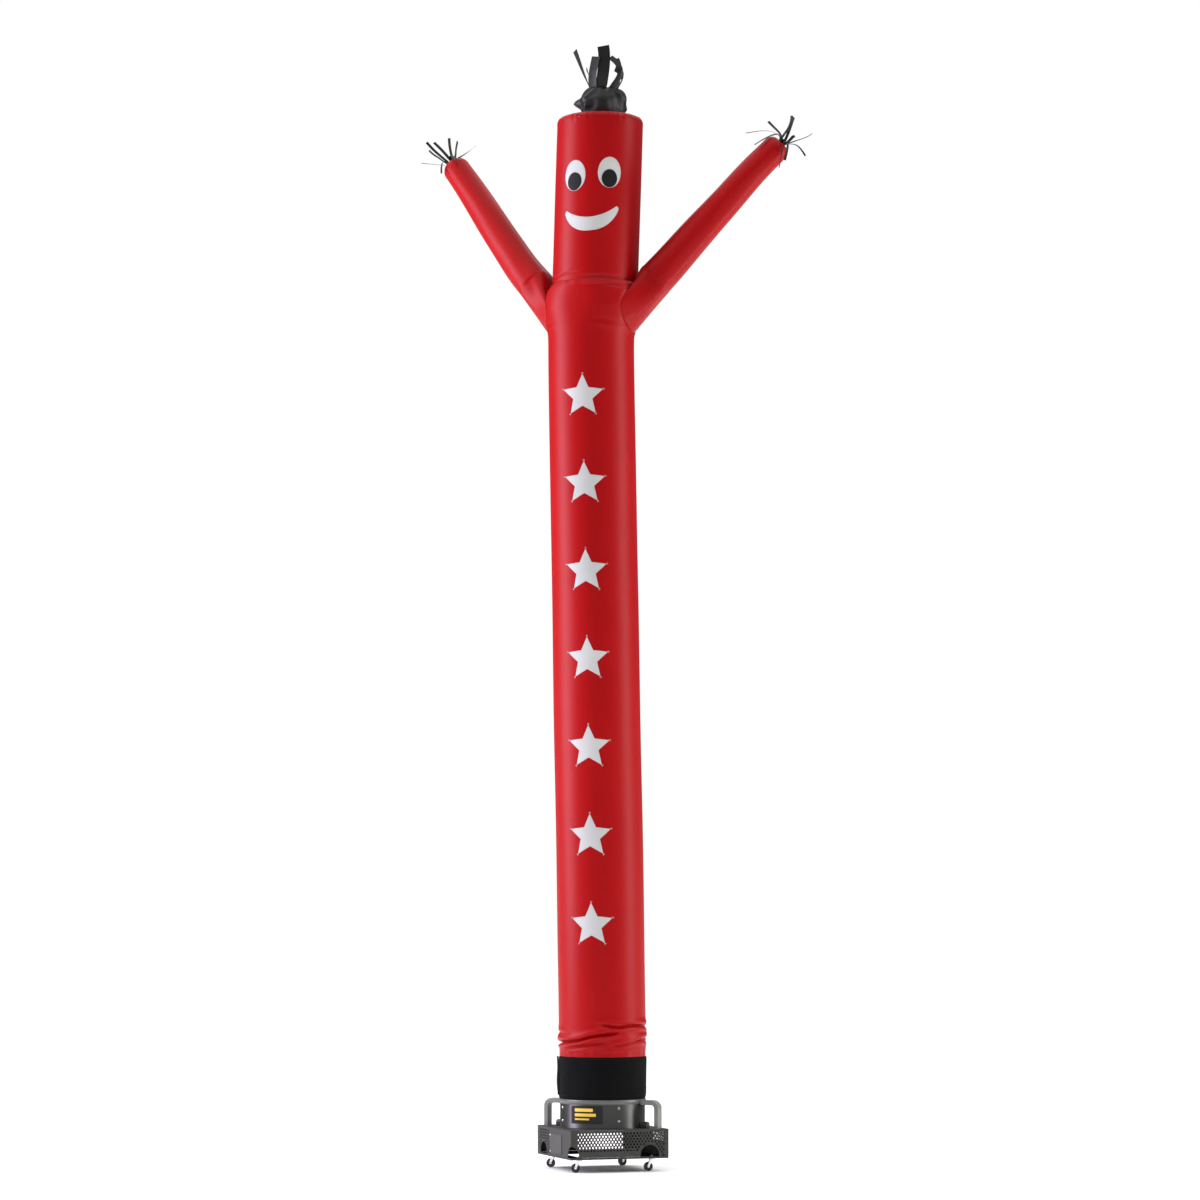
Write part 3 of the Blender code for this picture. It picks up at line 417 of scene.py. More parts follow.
DUCT = paint_material("duct_grey", (0.0150, 0.0150, 0.0142), (0.0220, 0.0220, 0.0208),
                      rough=(0.26, 0.36), metal=0.0, specular=0.50, edge_wear_and_highlight=(0.10, 0.10, 0.095),
                      edge_wear_and_highlight_amount=0.15)
# lighter copy of the duct paint for the rolled rim bead: a painted highlight where its top edge catches light
RIM_LIT = paint_material("rim_grey_painted_highlight", (0.080, 0.080, 0.076), (0.110, 0.110, 0.105),
                     rough=(0.28, 0.40), specular=0.5, edge_wear_and_highlight=(0.25, 0.25, 0.24), edge_wear_and_highlight_amount=0.2)
BOX = paint_material("box_grey", (0.0225, 0.0230, 0.0205), (0.0310, 0.0315, 0.0285),
                     rough=(0.45, 0.60), metal=0.0, specular=0.25, edge_wear_and_highlight=(0.09, 0.09, 0.085),
                     edge_wear_and_highlight_amount=0.12)
COVER = paint_material("cover_grey", (0.036, 0.036, 0.034), (0.046, 0.046, 0.044),
                       rough=(0.45, 0.60), specular=0.3, edge_wear_and_highlight=(0.14, 0.14, 0.13),
                       edge_wear_and_highlight_amount=0.15)
HANDLE = paint_material("handle_grey", (0.165, 0.165, 0.155), (0.205, 0.205, 0.193),
                        rough=(0.36, 0.50), metal=0.15, edge_wear_and_highlight=(0.40, 0.40, 0.39),
                        edge_wear_and_highlight_amount=0.2, specular=0.35)
LABEL = paint_material("label_black", (0.0060, 0.0055, 0.0065), (0.0100, 0.0090, 0.0110),
                       rough=(0.30, 0.42), peel=0.00003, edge_wear_and_highlight=(0.03, 0.03, 0.03),
                       edge_wear_and_highlight_amount=0.05, specular=0.25)
YELLOW = paint_material("label_yellow", (0.720, 0.440, 0.020), (0.800, 0.520, 0.040),
                        rough=(0.35, 0.45), peel=0.00003, edge_wear_and_highlight=(0.8, 0.6, 0.2),
                        edge_wear_and_highlight_amount=0.1)
ZINC = metal_material("bolt_zinc", (0.50, 0.50, 0.51), (0.68, 0.68, 0.68))
NUT = paint_material("nut_zinc", (0.70, 0.70, 0.70), (0.82, 0.82, 0.81), rough=(0.30, 0.45),
                     metal=0.3, edge_wear_and_highlight=(0.85, 0.85, 0.85), edge_wear_and_highlight_amount=0.2)
DULL_ZINC = metal_material("bolt_zinc_dull", (0.20, 0.20, 0.20), (0.32, 0.32, 0.32),
                           rough=(0.30, 0.45))
CHROME = metal_material("fork_chrome", (0.58, 0.58, 0.59), (0.72, 0.72, 0.72),
                        rough=(0.10, 0.24))
RUBBER = paint_material("wheel_rubber", (0.016, 0.016, 0.017), (0.028, 0.028, 0.028),
                        rough=(0.38, 0.60), peel=0.0002, edge_wear_and_highlight=(0.06, 0.06, 0.06),
                        edge_wear_and_highlight_amount=0.6)
HUB = paint_material("wheel_hub", (0.020, 0.020, 0.021), (0.030, 0.030, 0.031),
                     rough=(0.30, 0.42))


# ---- the body tube ---------------------------------------------------------------
def axis_of(rows, z):
    return AX + hermite(z, column(rows, 0), column(rows, 1))


def radius_of(rows, z):
    return hermite(z, column(rows, 0), column(rows, 2))


# creases over the cuff: the valley runs up from one side to the other, the
# cloth above hangs over it and the cloth below shows a lit lip
HEM_CREASES = (
    # phi, z of the valley at four places, depth, reach of its ends
    ((-100, -23, 1, 32), (0.672, 0.692, 0.719, 0.734), 0.0150, 14),
    ((-44, -18, 4, 16), (0.652, 0.662, 0.676, 0.680), 0.0070, 8),
    ((14, 30, 52, 104), (0.7780, 0.7620, 0.7740, 0.7650), 0.0130, 16),
    ((24, 48, 80, 112), (0.6600, 0.6720, 0.7000, 0.7060), 0.0070, 12),
    ((120, 170, 210, 262), (0.7500, 0.7250, 0.7050, 0.6880), 0.0110, 20),
    ((70, 110, 150, 190), (0.6950, 0.6850, 0.6900, 0.7000), 0.0055, 24),
    ((-150, -110, -70, -40), (0.7300, 0.7380, 0.7330, 0.7250), 0.0050, 20),
)


def hem_folds(phi, z):
    """phi in degrees from the front towards +X, z in metres."""
    d = np.zeros(np.broadcast(phi, z).shape)
    for places, levels, depth, reach in HEM_CREASES:
        mid = (places[0] + places[-1]) / 2
        p = mid + np.degrees(wrap(np.radians(phi - mid)))
        zc = np.interp(p, places, levels)
        # rounded course in place of straight pieces
        zc = (zc + np.interp(p - 6, places, levels) + np.interp(p + 6, places, levels)) / 3
        along = (1 / (1 + np.exp(-(p - places[0]) / reach * 4))
                 / (1 + np.exp((p - places[-1]) / reach * 4)))
        e = z - zc
        fold = (-1.00 * bell(e + 0.000, 0.0050) - 0.40 * bell(e + 0.004, 0.011)
                + 0.46 * bell(e - 0.020, 0.016) + 0.50 * bell(e + 0.017, 0.0085))
        d = d + depth * along * fold
    # small puckers of the gathered hem, dying out upwards
    low = bell(np.maximum(z - 0.606, 0), 0.045)
    p = np.radians(phi)
    d = d + 0.0010 * low * (np.sin(17 * p + 0.6) + 0.7 * np.sin(29 * p + 2.0))
    return d


def body_drift(phi, z):
    """The slow unevenness of a blown tube, and its long seam at the back."""
    p = np.radians(phi)
    d = (0.0014 * np.sin(2.1 * z + 1.3 * np.sin(p)) * np.sin(2 * p + 0.7 * z)
         + 0.0008 * np.sin(5.3 * z + 2.0 * np.cos(p + 0.5)))
    seam = np.degrees(wrap(p - math.pi))
    return d - 0.0016 * bell(seam, 1.6) + 0.0008 * bell(np.abs(seam) - 3.5, 1.8)


def shoulder_folds(phi, z):
    """The pull of the arms, the grooves where they are sewn in, and the
    creases that run from them."""
    out = hermite(z, column(SHOULDER, 0), column(SHOULDER, 1))
    d = np.zeros(np.broadcast(phi, z).shape)
    for middle in ARM_AROUND.values():
        a = wrap(np.radians(phi - middle))
        d = d + out * np.maximum(0, np.cos(a)) ** 1.5
        e = np.sqrt((np.sin(a) * (TUBE_R + 0.020) / ROOT_HALF_W) ** 2
                    + ((z - ARM_ROOT_Z) / ROOT_HALF_H) ** 2) + 9 * (np.cos(a) < 0)
        # the seam sits deep above the arm and fades under it
        deep = 0.35 + 0.65 / (1 + np.exp(-(z - 4.690) / 0.018))
        d = d - 0.0018 * deep * bell(e - 1.02, 0.036) + 0.0006 * deep * bell(e - 1.14, 0.08)
    # creases across the chest and back from the feet and tops of the arms
    for p0, p1, z0, z1, depth, w in (
            (10, 62, 4.556, 4.535, 0.0026, 0.0150),
            (22, 56, 4.752, 4.742, 0.0030, 0.0080),
            (-74, -44, 4.560, 4.548, 0.0020, 0.0100),
            (118, 172, 4.560, 4.575, 0.0040, 0.0110),
            (-176, -134, 4.575, 4.560, 0.0036, 0.0110),
            (126, 168, 4.750, 4.742, 0.0026, 0.0090)):
        t = (phi - p0) / (p1 - p0)
        zc = z0 + (z1 - z0) * t
        along = 1 / (1 + np.exp(-t * 9 + 1.5)) / (1 + np.exp((t - 1) * 16))
        d = d + depth * along * (bell(z - zc, w) - 0.8 * bell(z - zc - 1.7 * w, w * 0.8))
    # the neck: a lip of body cloth stands below the seam in front, and the
    # cloth is pinched towards the arms
    front = 0.08 + 0.92 * bell(wrap(np.radians(phi - 19)), 0.42)
    lip = 4.7765 + 0.0035 * np.sin(np.radians(phi * 1.6 + 20))
    d = d + front * (0.0078 * bell(z - lip, 0.0080) - 0.0008 * bell(z - 4.7500, 0.0140))
    d = d + 0.0010 * bell(z - 4.790, 0.02) * np.sin(np.radians(phi) * 21 + 1.0)
    return d


def torso_radius(phi, z):
    r = radius_of(TORSO, z) + body_drift(phi, z)
    r = r + hem_folds(phi, z) * (z < 0.95) + shoulder_folds(phi, z) * (z > 4.35)
    return r


def head_folds(phi, z):
    """Dips above the neck seam and puckers below the crown seam."""
    p = np.radians(phi)
    d = -0.0075 * bell(z - 4.8110, 0.0105) * (0.12 + 0.88 * bell(wrap(p - math.radians(19)), 0.44))
    # slanting pinch at the foot of the head on -X
    for p0, p1, z0, z1, depth in ((-86, -20, 4.803, 4.842, 0.0070), (52, 92, 4.832, 4.812, 0.0020),
                                  (120, 170, 4.820, 4.845, 0.0040), (-170, -120, 4.840, 4.818, 0.0036)):
        t = (phi - p0) / (p1 - p0)
        zc = z0 + (z1 - z0) * t
        along = 1 / (1 + np.exp(-t * 10 + 1)) / (1 + np.exp((t - 1) * 12))
        d = d + depth * along * (-bell(z - zc, 0.0055) + 0.55 * bell(z - zc + 0.012, 0.0075)
                                 + 0.12 * bell(z - zc - 0.016, 0.0120))
    top = bell(np.maximum(5.6894 - z, 0), 0.022)
    d = d + 0.0007 * top * (np.sin(31 * p) + 0.6 * np.sin(47 * p + 1))
    d = d + 0.0010 * np.sin(4.1 * z + 1.0) * np.sin(2 * p + 0.4) * bell(z - 5.25, 0.45)
    seam = np.degrees(wrap(p - math.pi))
    return d - 0.0016 * bell(seam, 1.6) + 0.0008 * bell(np.abs(seam) - 3.5, 1.8)


def head_radius(phi, z):
    return radius_of(HEAD, z) + head_folds(phi, z)


def tube_point(rows, radius, phi, z, lift=0.0):
    """Point on a tube's cloth. phi in degrees from the front towards +X."""
    r = radius(phi, z) + lift
    p = np.radians(phi)
    return np.stack(np.broadcast_arrays(axis_of(rows, z) + r * np.sin(p), AY - r * np.cos(p), z), -1)


def tube_sheet(name, rows, radius, levels, n, mat):
    """One layer of cloth round a tube, with its seam at the back."""
    phi = -180 + 360 * np.arange(n) / n
    P, Z = np.meshgrid(phi, np.asarray(levels, float))
    pts = tube_point(rows, radius, P, Z).reshape(-1, 3)
    m = len(levels)
    i, j = np.meshgrid(np.arange(n), np.arange(m - 1))
    a = j * n + i
    b = j * n + (i + 1) % n
    faces = np.stack([a, b, b + n, a + n], -1).reshape(-1, 4)
    obj = new_object(name, pts, faces, mat)
    # length round the tube and height, in metres, as texture coordinates
    layer = obj.data.uv_layers.new(name="UVMap")
    u0 = (np.arange(n) / n) * 2 * math.pi * TUBE_R
    u1 = ((np.arange(n) + 1) / n) * 2 * math.pi * TUBE_R
    uv = np.zeros((m - 1, n, 4, 2), np.float32)
    lv = np.asarray(levels, float)
    uv[:, :, 0, 0] = uv[:, :, 3, 0] = u0
    uv[:, :, 1, 0] = uv[:, :, 2, 0] = u1
    uv[:, :, 0, 1] = uv[:, :, 1, 1] = lv[:-1, None]
    uv[:, :, 2, 1] = uv[:, :, 3, 1] = lv[1:, None]
    layer.data.foreach_set("uv", uv.ravel())
    return obj


def levels(*spans):
    """Heights with a given step in each span."""
    out = []
    for lo, hi, step in spans:
        k = max(1, int(round((hi - lo) / step)))
        out += [lo + (hi - lo) * i / k for i in range(k)]
    return out + [spans[-1][1]]


torso = tube_sheet("torso_cloth", TORSO, torso_radius,
                   levels((0.6056, 0.85, 0.0030), (0.85, 1.0, 0.012), (1.0, 4.42, 0.040),
                          (4.42, 4.52, 0.010), (4.52, 4.70, 0.0060), (4.70, 4.8000, 0.0030)),
                   288, RED)
head = tube_sheet("head_cloth", HEAD, head_radius,
                  levels((4.8006, 4.88, 0.0026), (4.88, 5.0, 0.012), (5.0, 5.62, 0.030),
                         (5.62, 5.6894, 0.005)), 288, RED)


# ---- crown -----------------------------------------------------------------------
CROWN = ((0.2350, 5.6900), (0.2340, 5.6980), (0.2305, 5.7060), (0.2240, 5.7130), (0.2130, 5.7190),
         (0.1960, 5.7240), (0.1700, 5.7280), (0.1440, 5.7305), (0.1220, 5.7320))


def crown_mesh():
    n = 288
    s = np.linspace(0, 1, 34)
    pr = hermite(s, np.linspace(0, 1, len(CROWN)), column(CROWN, 0))
    pz = hermite(s, np.linspace(0, 1, len(CROWN)), column(CROWN, 1))
    phi = np.radians(-180 + 360 * np.arange(n) / n)
    P, S = np.meshgrid(phi, s)
    R = np.repeat(pr[:, None], n, 1)
    Z = np.repeat(pz[:, None], n, 1)
    join = head_radius(np.degrees(phi), np.full(n, 5.6894)) - 0.2350
    R = R + join[None, :] * (1 - S) ** 3
    pucker = np.sin(31 * P) + 0.6 * np.sin(47 * P + 1) + 0.5 * np.sin(13 * P + 2)
    Z = Z + 0.0016 * pucker * bell(S - 0.28, 0.22) * (S > 0)
    vent = bell(S - 1, 0.2)
    Z = Z + 0.0020 * vent * np.sin(9 * P + 0.5)
    cx = AX - 0.0128 + 0.001 * S
    pts = np.stack([cx + R * np.sin(P), AY - R * np.cos(P), Z], -1).reshape(-1, 3)
    m = len(s)
    i, j = np.meshgrid(np.arange(n), np.arange(m - 1))
    a = j * n + i
    b = j * n + (i + 1) % n
    faces = np.stack([a, b, b + n, a + n], -1).reshape(-1, 4)
    return new_object("crown_cloth", pts, faces, RED, uvs=pts[:, :2])


crown = crown_mesh()


# ---- arms --------------------------------------------------------------------------
ARM_N = 96


def seam_ring(w, side, grow):
    """Azimuth and height of the seam between an arm and the body."""
    turn = np.degrees(np.arcsin((ROOT_HALF_W + grow) * np.cos(w) / (TUBE_R + 0.020)))
    return ARM_AROUND[side] + side * turn, ARM_ROOT_Z + (ROOT_HALF_H + grow) * np.sin(w)


def ridges(w, u):
    """Ridges above and below the flattened front and back of an arm, fading
    out along it; w is 0 at +Y."""
    fade = math.exp(-(u / 0.42) ** 2)
    out = 0.0
    for middle in (0.0, math.pi):
        out = out - 0.0060 * bell(wrap(w - middle), 0.55)
        for step in (-0.95, 0.98):
            out = out + 0.0034 * bell(wrap(w - middle - step), 0.26)
    return out * fade


def arm_cloth(name, rows, side, end):
    """Tapered tube from the seam on the body to the gathered hand."""
    w = 2 * math.pi * np.arange(ARM_N) / ARM_N
    root = tube_point(TORSO, torso_radius, *seam_ring(w, side, 0.0), lift=-0.0006)
    # middle line, smooth through the table
    line = [np.array([AX + r[0], AY + r[1], r[2]]) for r in rows]
    rad = [r[3] for r in rows]
    keys = np.concatenate([[0], np.cumsum([np.linalg.norm(b - a) for a, b in zip(line, line[1:])])])
    total = keys[-1]
    t = np.linspace(0, total, 120)
    mid = np.stack([hermite(t, keys, [p[k] for p in line]) for k in range(3)], -1)
    radius = hermite(t, keys, rad)
    tangent = np.gradient(mid, axis=0)
    tangent /= np.linalg.norm(tangent, axis=1)[:, None]
    rings = []
    for k in range(len(t)):
        T = tangent[k]
        across = np.array([0.0, 1.0, 0.0])
        across = across - T * across.dot(T)
        across /= np.linalg.norm(across)
        up = np.cross(T, across)
        if up[2] < 0:
            up = -up
        u = t[k]
        wav = (0.0011 * np.sin(2 * w + 7.0 * u + 0.8) + 0.0009 * np.sin(3 * w - 11.0 * u)
               + 0.0016 * math.exp(-u / 0.15) * np.sin(5 * w + 14 * u + 1.0))
        r = radius[k] + wav + ridges(w, u)
        rings.append(mid[k] + across * (r * np.cos(w))[:, None] + up * (r * np.sin(w))[:, None])
    # from the seam to the first full ring, nearly straight
    first, second = rings[0], rings[1]
    gap = np.linalg.norm(first - root, axis=1)[:, None]
    m0 = first - root
    m1 = second - first
    m1 = m1 / np.linalg.norm(m1, axis=1)[:, None] * gap
    start = []
    for s in np.linspace(0, 1, 26)[:-1]:
        h00, h10 = (1 + 2 * s) * (1 - s) ** 2, s * (1 - s) ** 2
        h01, h11 = s * s * (3 - 2 * s), s * s * (s - 1)
        p = root * h00 + m0 * h10 + first * h01 + m1 * h11
        # short puckers along the seam, and the front drawn flat between two
        # ridges that run out along the arm
        pull = 0.0012 * math.exp(-s * 6) * (1 - math.exp(-s * 20)) * np.sin(15 * w + 0.5)
        pull = pull + ridges(w, 0.0) * s * s * (3 - 2 * s)
        outw = p - p.mean(0)
        outw /= np.linalg.norm(outw, axis=1)[:, None]
        start.append(p + outw * pull[:, None])
    # rounded end, pleated towards the ribbons
    hub, before = (np.array([AX + q[0], AY + q[1], q[2]]) for q in ARM_END[end])
    way = (hub - before) / np.linalg.norm(hub - before)
    T = tangent[-1]
    across = np.array([0.0, 1.0, 0.0]) - T * T[1]
    across /= np.linalg.norm(across)
    up = np.cross(T, across)
    if up[2] < 0:
        up = -up
    length = float(np.dot(hub - mid[-1], T))
    ends = []
    for s in np.linspace(0, 1, 20)[1:]:
        a = s * math.pi / 2
        r = 0.0235 + (radius[-1] - 0.0235) * math.cos(a) ** 0.85 if s < 1 else 0.0235
        c = mid[-1] + T * length * math.sin(a)
        pleat = 0.050 * s ** 1.5 * np.sin(13 * w + 0.7) + 0.03 * s ** 1.5 * np.sin(21 * w + 2.0)
        rr = r * (1 + pleat * (1 - 0.4 * s))
        ends.append(c + across * (rr * np.cos(w))[:, None] + up * (rr * np.sin(w))[:, None])
    allr = start + rings + ends
    m = len(allr)
    pts = np.concatenate(allr)
    i, j = np.meshgrid(np.arange(ARM_N), np.arange(m - 1))
    a = j * ARM_N + i
    b = j * ARM_N + (i + 1) % ARM_N
    faces = np.stack([a, b, b + ARM_N, a + ARM_N], -1).reshape(-1, 4)
    # arc length along the arm as one texture coordinate
    mids = np.array([r.mean(0) for r in allr])
    v = np.concatenate([[0], np.cumsum(np.linalg.norm(np.diff(mids, axis=0), axis=1))])
    uv = np.stack([np.tile(w * 0.088, m), np.repeat(v, ARM_N)], -1)
    obj = new_object(name, pts, faces if side < 0 else faces[:, ::-1], RED, uvs=uv)
    mod = obj.modifiers.new("Solidify", "SOLIDIFY")
    mod.thickness = 0.0010
    mod.offset = -1
    apply_all(obj)
    return obj, root, up, across, T, hub


arms = {}
for name, rows, side, end in (("arm_cloth_right", ARM_RIGHT, 1, "right"),
                              ("arm_cloth_left", ARM_LEFT, -1, "left")):
    arms[end] = arm_cloth(name, rows, side, end)


def face_out(obj):
    bm = bmesh.new()
    bm.from_mesh(obj.data)
    bmesh.ops.recalc_face_normals(bm, faces=bm.faces[:])
    bm.to_mesh(obj.data)
    bm.free()


for end in arms:
    face_out(arms[end][0])


# ---- stitches ------------------------------------------------------------------------
def stitches(name, course, normal, mat, pitch=0.0042, length=0.0030, r=0.00035, closed=True):
    """A row of short threads along a course of points."""
    pts = np.asarray(course, float)
    nor = np.asarray(normal, float)
    if closed:
        pts = np.concatenate([pts, pts[:1]])
        nor = np.concatenate([nor, nor[:1]])
    seg = np.linalg.norm(np.diff(pts, axis=0), axis=1)
    s = np.concatenate([[0], np.cumsum(seg)])
    count = max(2, int(s[-1] / pitch))
    verts, faces = [], []
    for k in range(count):
        s0 = s[-1] * (k + 0.15) / count
        s1 = s0 + length * min(1.0, pitch / 0.0042)
        a = np.array([np.interp(s0, s, pts[:, i]) for i in range(3)])
        b = np.array([np.interp(min(s1, s[-1]), s, pts[:, i]) for i in range(3)])
        n = np.array([np.interp(s0, s, nor[:, i]) for i in range(3)])
        n /= np.linalg.norm(n)
        t = b - a
        if np.linalg.norm(t) < 1e-6:
            continue
        t /= np.linalg.norm(t)
        c = np.cross(t, n)
        base = len(verts)
        for q, h in ((a, 0.25), (a * 0.75 + b * 0.25, 1.0), (a * 0.25 + b * 0.75, 1.0), (b, 0.25)):
            for dx, dn in ((-1, 0.0), (0, h), (1, 0.0), (0, -0.3)):
                verts.append(q + c * dx * r * (0.6 + 0.4 * h) + n * (dn * r * 1.3 + r * 0.2))
        for ring in range(3):
            for i in range(4):
                j = (i + 1) % 4
                o = base + ring * 4
                faces.append((o + i, o + j, o + 4 + j, o + 4 + i))
        faces.append((base + 3, base + 2, base + 1, base))
        faces.append((base + 12, base + 13, base + 14, base + 15))
    obj = new_object(name, verts, faces, mat, smooth=True,
                     uvs=np.asarray(verts)[:, [0, 2]])
    face_out(obj)
    return obj


def ring_course(rows, radius, z, lift, n=180):
    phi = -180 + 360 * np.arange(n) / n
    pts = tube_point(rows, radius, phi, np.full(n, z), lift)
    p = np.radians(phi)
    return pts, np.stack([np.sin(p), -np.cos(p), np.zeros(n)], -1)


seam_rows = []
for k, (rows, radius, z) in enumerate(((TORSO, torso_radius, 4.7935), (HEAD, head_radius, 4.8075),
                                       (HEAD, head_radius, 5.6840), (TORSO, torso_radius, 0.6130),
                                       (TORSO, torso_radius, 0.6190))):
    c, n = ring_course(rows, radius, z, 0.0002)
    seam_rows.append(stitches("seam_%d" % k, c, n, THREAD))
for end in ("right", "left"):
    obj, root, up, across, T, hub = arms[end]
    side = 1 if end == "right" else -1
    w = 2 * math.pi * np.arange(ARM_N) / ARM_N
    ph, z1 = seam_ring(w, side, 0.0060)
    z1 = np.minimum(z1, 4.7925)
    c = tube_point(TORSO, torso_radius, ph, z1, 0.0002)
    p = np.radians(ph)
    seam_rows.append(stitches("seam_arm_" + end, c, np.stack([np.sin(p), -np.cos(p), 0 * p], -1), THREAD))
seam_stitches = joined("seam_stitches", seam_rows, THREAD)


# ---- sewn-on patches --------------------------------------------------------------------
def patch(name, outline, turn, rows, radius, lift, thick, mat, cell=0.010):
    """A cut piece of cloth laid on a tube: the outline is in (arc, height)."""
    bm = bmesh.new()
    mid = math.radians(turn) * TUBE_R
    bm.faces.new([bm.verts.new((mid + s, 0.0, z)) for s, z in outline])
    lo_s = min(s for s, _ in outline) + mid
    hi_s = max(s for s, _ in outline) + mid
    lo_z = min(z for _, z in outline)
    hi_z = max(z for _, z in outline)
    k = int(lo_s / cell) - 1
    while k * cell < hi_s:
        bmesh.ops.bisect_plane(bm, geom=bm.verts[:] + bm.edges[:] + bm.faces[:], dist=1e-6,
                               plane_co=(k * cell, 0, 0), plane_no=(1, 0, 0))
        k += 1
    k = int(lo_z / cell)
    while k * cell < hi_z:
        bmesh.ops.bisect_plane(bm, geom=bm.verts[:] + bm.edges[:] + bm.faces[:], dist=1e-6,
                               plane_co=(0, 0, k * cell), plane_no=(0, 0, 1))
        k += 1
    bm.verts.ensure_lookup_table()
    s = np.array([v.co.x for v in bm.verts])
    z = np.array([v.co.z for v in bm.verts])
    rim = np.array([v.is_boundary for v in bm.verts])
    phi = np.degrees(s / TUBE_R)
    # the cut edge is stitched down, the middle lies a little proud
    top = tube_point(rows, radius, phi, z, lift + thick * np.where(rim, 0.75, 1.0))
    low = tube_point(rows, radius, phi, z, lift)
    verts = np.concatenate([top, low])
    n = len(s)
    faces = []
    for f in bm.faces:
        ids = [v.index for v in f.verts]
        faces.append(ids)
        faces.append([i + n for i in reversed(ids)])
    for e in bm.edges:
        if e.is_boundary:
            a, b = (v.index for v in e.verts)
            faces.append((a, b, b + n, a + n))
    bm.free()
    uv = np.concatenate([np.stack([s, z], -1)] * 2)
    obj = new_object(name, verts, faces, mat, uvs=uv)
    face_out(obj)
    obj.data.set_sharp_from_angle(angle=math.radians(40))
    return obj


def edge_stitches(name, outline, turn, rows, radius, lift, mat, inset):
    """Thread round a patch, a little inside its cut edge."""
    pts = np.array(outline, float)
    c = pts.mean(0)
    nxt = np.roll(pts, -1, 0) - np.roll(pts, 1, 0)
    nrm = np.stack([-nxt[:, 1], nxt[:, 0]], -1)
    nrm /= np.linalg.norm(nrm, axis=1)[:, None]
    area = 0.5 * np.sum(pts[:, 0] * np.roll(pts[:, 1], -1) - np.roll(pts[:, 0], -1) * pts[:, 1])
    pts = pts + nrm * inset * (1 if area > 0 else -1)
    fine = []
    for a, b in zip(pts, np.roll(pts, -1, 0)):
        k = max(1, int(np.linalg.norm(b - a) / 0.006))
        fine += [a + (b - a) * i / k for i in range(k)]
    fine = np.array(fine)
    phi = turn + np.degrees(fine[:, 0] / TUBE_R)
    course = tube_point(rows, radius, phi, fine[:, 1], lift)
    p = np.radians(phi)
    return stitches(name, course, np.stack([np.sin(p), -np.cos(p), 0 * p], -1), mat)


def oval(cs, cz, hw, hh, n=72):
    return [(cs + hw * math.cos(2 * math.pi * i / n), cz + hh * math.sin(2 * math.pi * i / n))
            for i in range(n)]


FACE = 3.0
patches, threads = [], []
for side, s, z in (("left", -0.0990, 5.3680), ("right", 0.0990, 5.3800)):
    shape = oval(s, z, 0.0650, 0.0845)
    white = patch("eye_cloth_" + side, shape, FACE, HEAD, head_radius, 0.0004, 0.0010, WHITE)
    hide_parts("eye_white_" + side)
    threads.append(edge_stitches("t", shape, FACE, HEAD, head_radius, 0.0013, THREAD_WHITE, 0.0035))
    shape = oval(s, z - 0.033, 0.0435, 0.0500)
    black = patch("pupil_cloth_" + side, shape, FACE, HEAD, head_radius, 0.0017, 0.0010, PUPIL)
    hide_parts("pupil_" + side)
    patches += [white, black]

smile = []
for i in range(61):             # upper edge
    u = -1 + 2 * i / 60
    smile.append((0.1430 * u, 5.1860 + 0.010 * u - 0.0500 * (1 - u * u)))
for i in range(1, 8):           # round end on +X
    w = math.pi / 2 - math.pi / 2 * i / 8
    smile.append((0.1430 + 0.0135 * math.cos(w), 5.1960 - 0.0165 + 0.0165 * math.sin(w)))
for i in range(81):             # lower edge, upright where it meets the ends
    u = math.cos(math.pi * i / 80)
    smile.append((0.1565 * u, 5.1860 + 0.010 * u - 0.0165 - 0.1085 * (1 - abs(u) ** 2.4) ** 0.8))
for i in range(1, 8):
    w = -math.pi - math.pi / 2 * i / 8
    smile.append((-0.1430 + 0.0135 * math.cos(w), 5.1760 - 0.0165 + 0.0165 * math.sin(w)))
mouth = patch("smile_cloth", smile, FACE, HEAD, head_radius, 0.0004, 0.0010, WHITE)
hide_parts("smile")
patches.append(mouth)
threads.append(edge_stitches("t", smile, FACE, HEAD, head_radius, 0.0013, THREAD_WHITE, 0.0035))

stars = []
for i in range(7):
    zc = 1.3100 + 0.4750 * i
    shape = []
    for k in range(10):
        r = 0.1280 if k % 2 == 0 else 0.0560
        w = math.pi / 2 + math.pi * k / 5
        tip = np.array((r * math.cos(w), zc + r * math.sin(w)))
        if k % 2 == 0:      # the points are cut a little round
            back = math.atan2(tip[1] - zc, tip[0])
            shape += [(tip[0] - 0.004 * math.cos(back + d), tip[1] - 0.004 * math.sin(back + d))
                      for d in (1.0, 0.0, -1.0)][::-1]
        else:
            shape.append(tuple(tip))
    star = patch("star_cloth_%d" % (i + 1), shape, 0.0, TORSO, torso_radius, 0.0004, 0.0010, WHITE)
    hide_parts("star_%d" % (i + 1))
    stars.append(star)
    threads.append(edge_stitches("t", shape, 0.0, TORSO, torso_radius, 0.0013, THREAD_WHITE, 0.0035))
patch_stitches = joined("patch_stitches", threads, THREAD_WHITE)

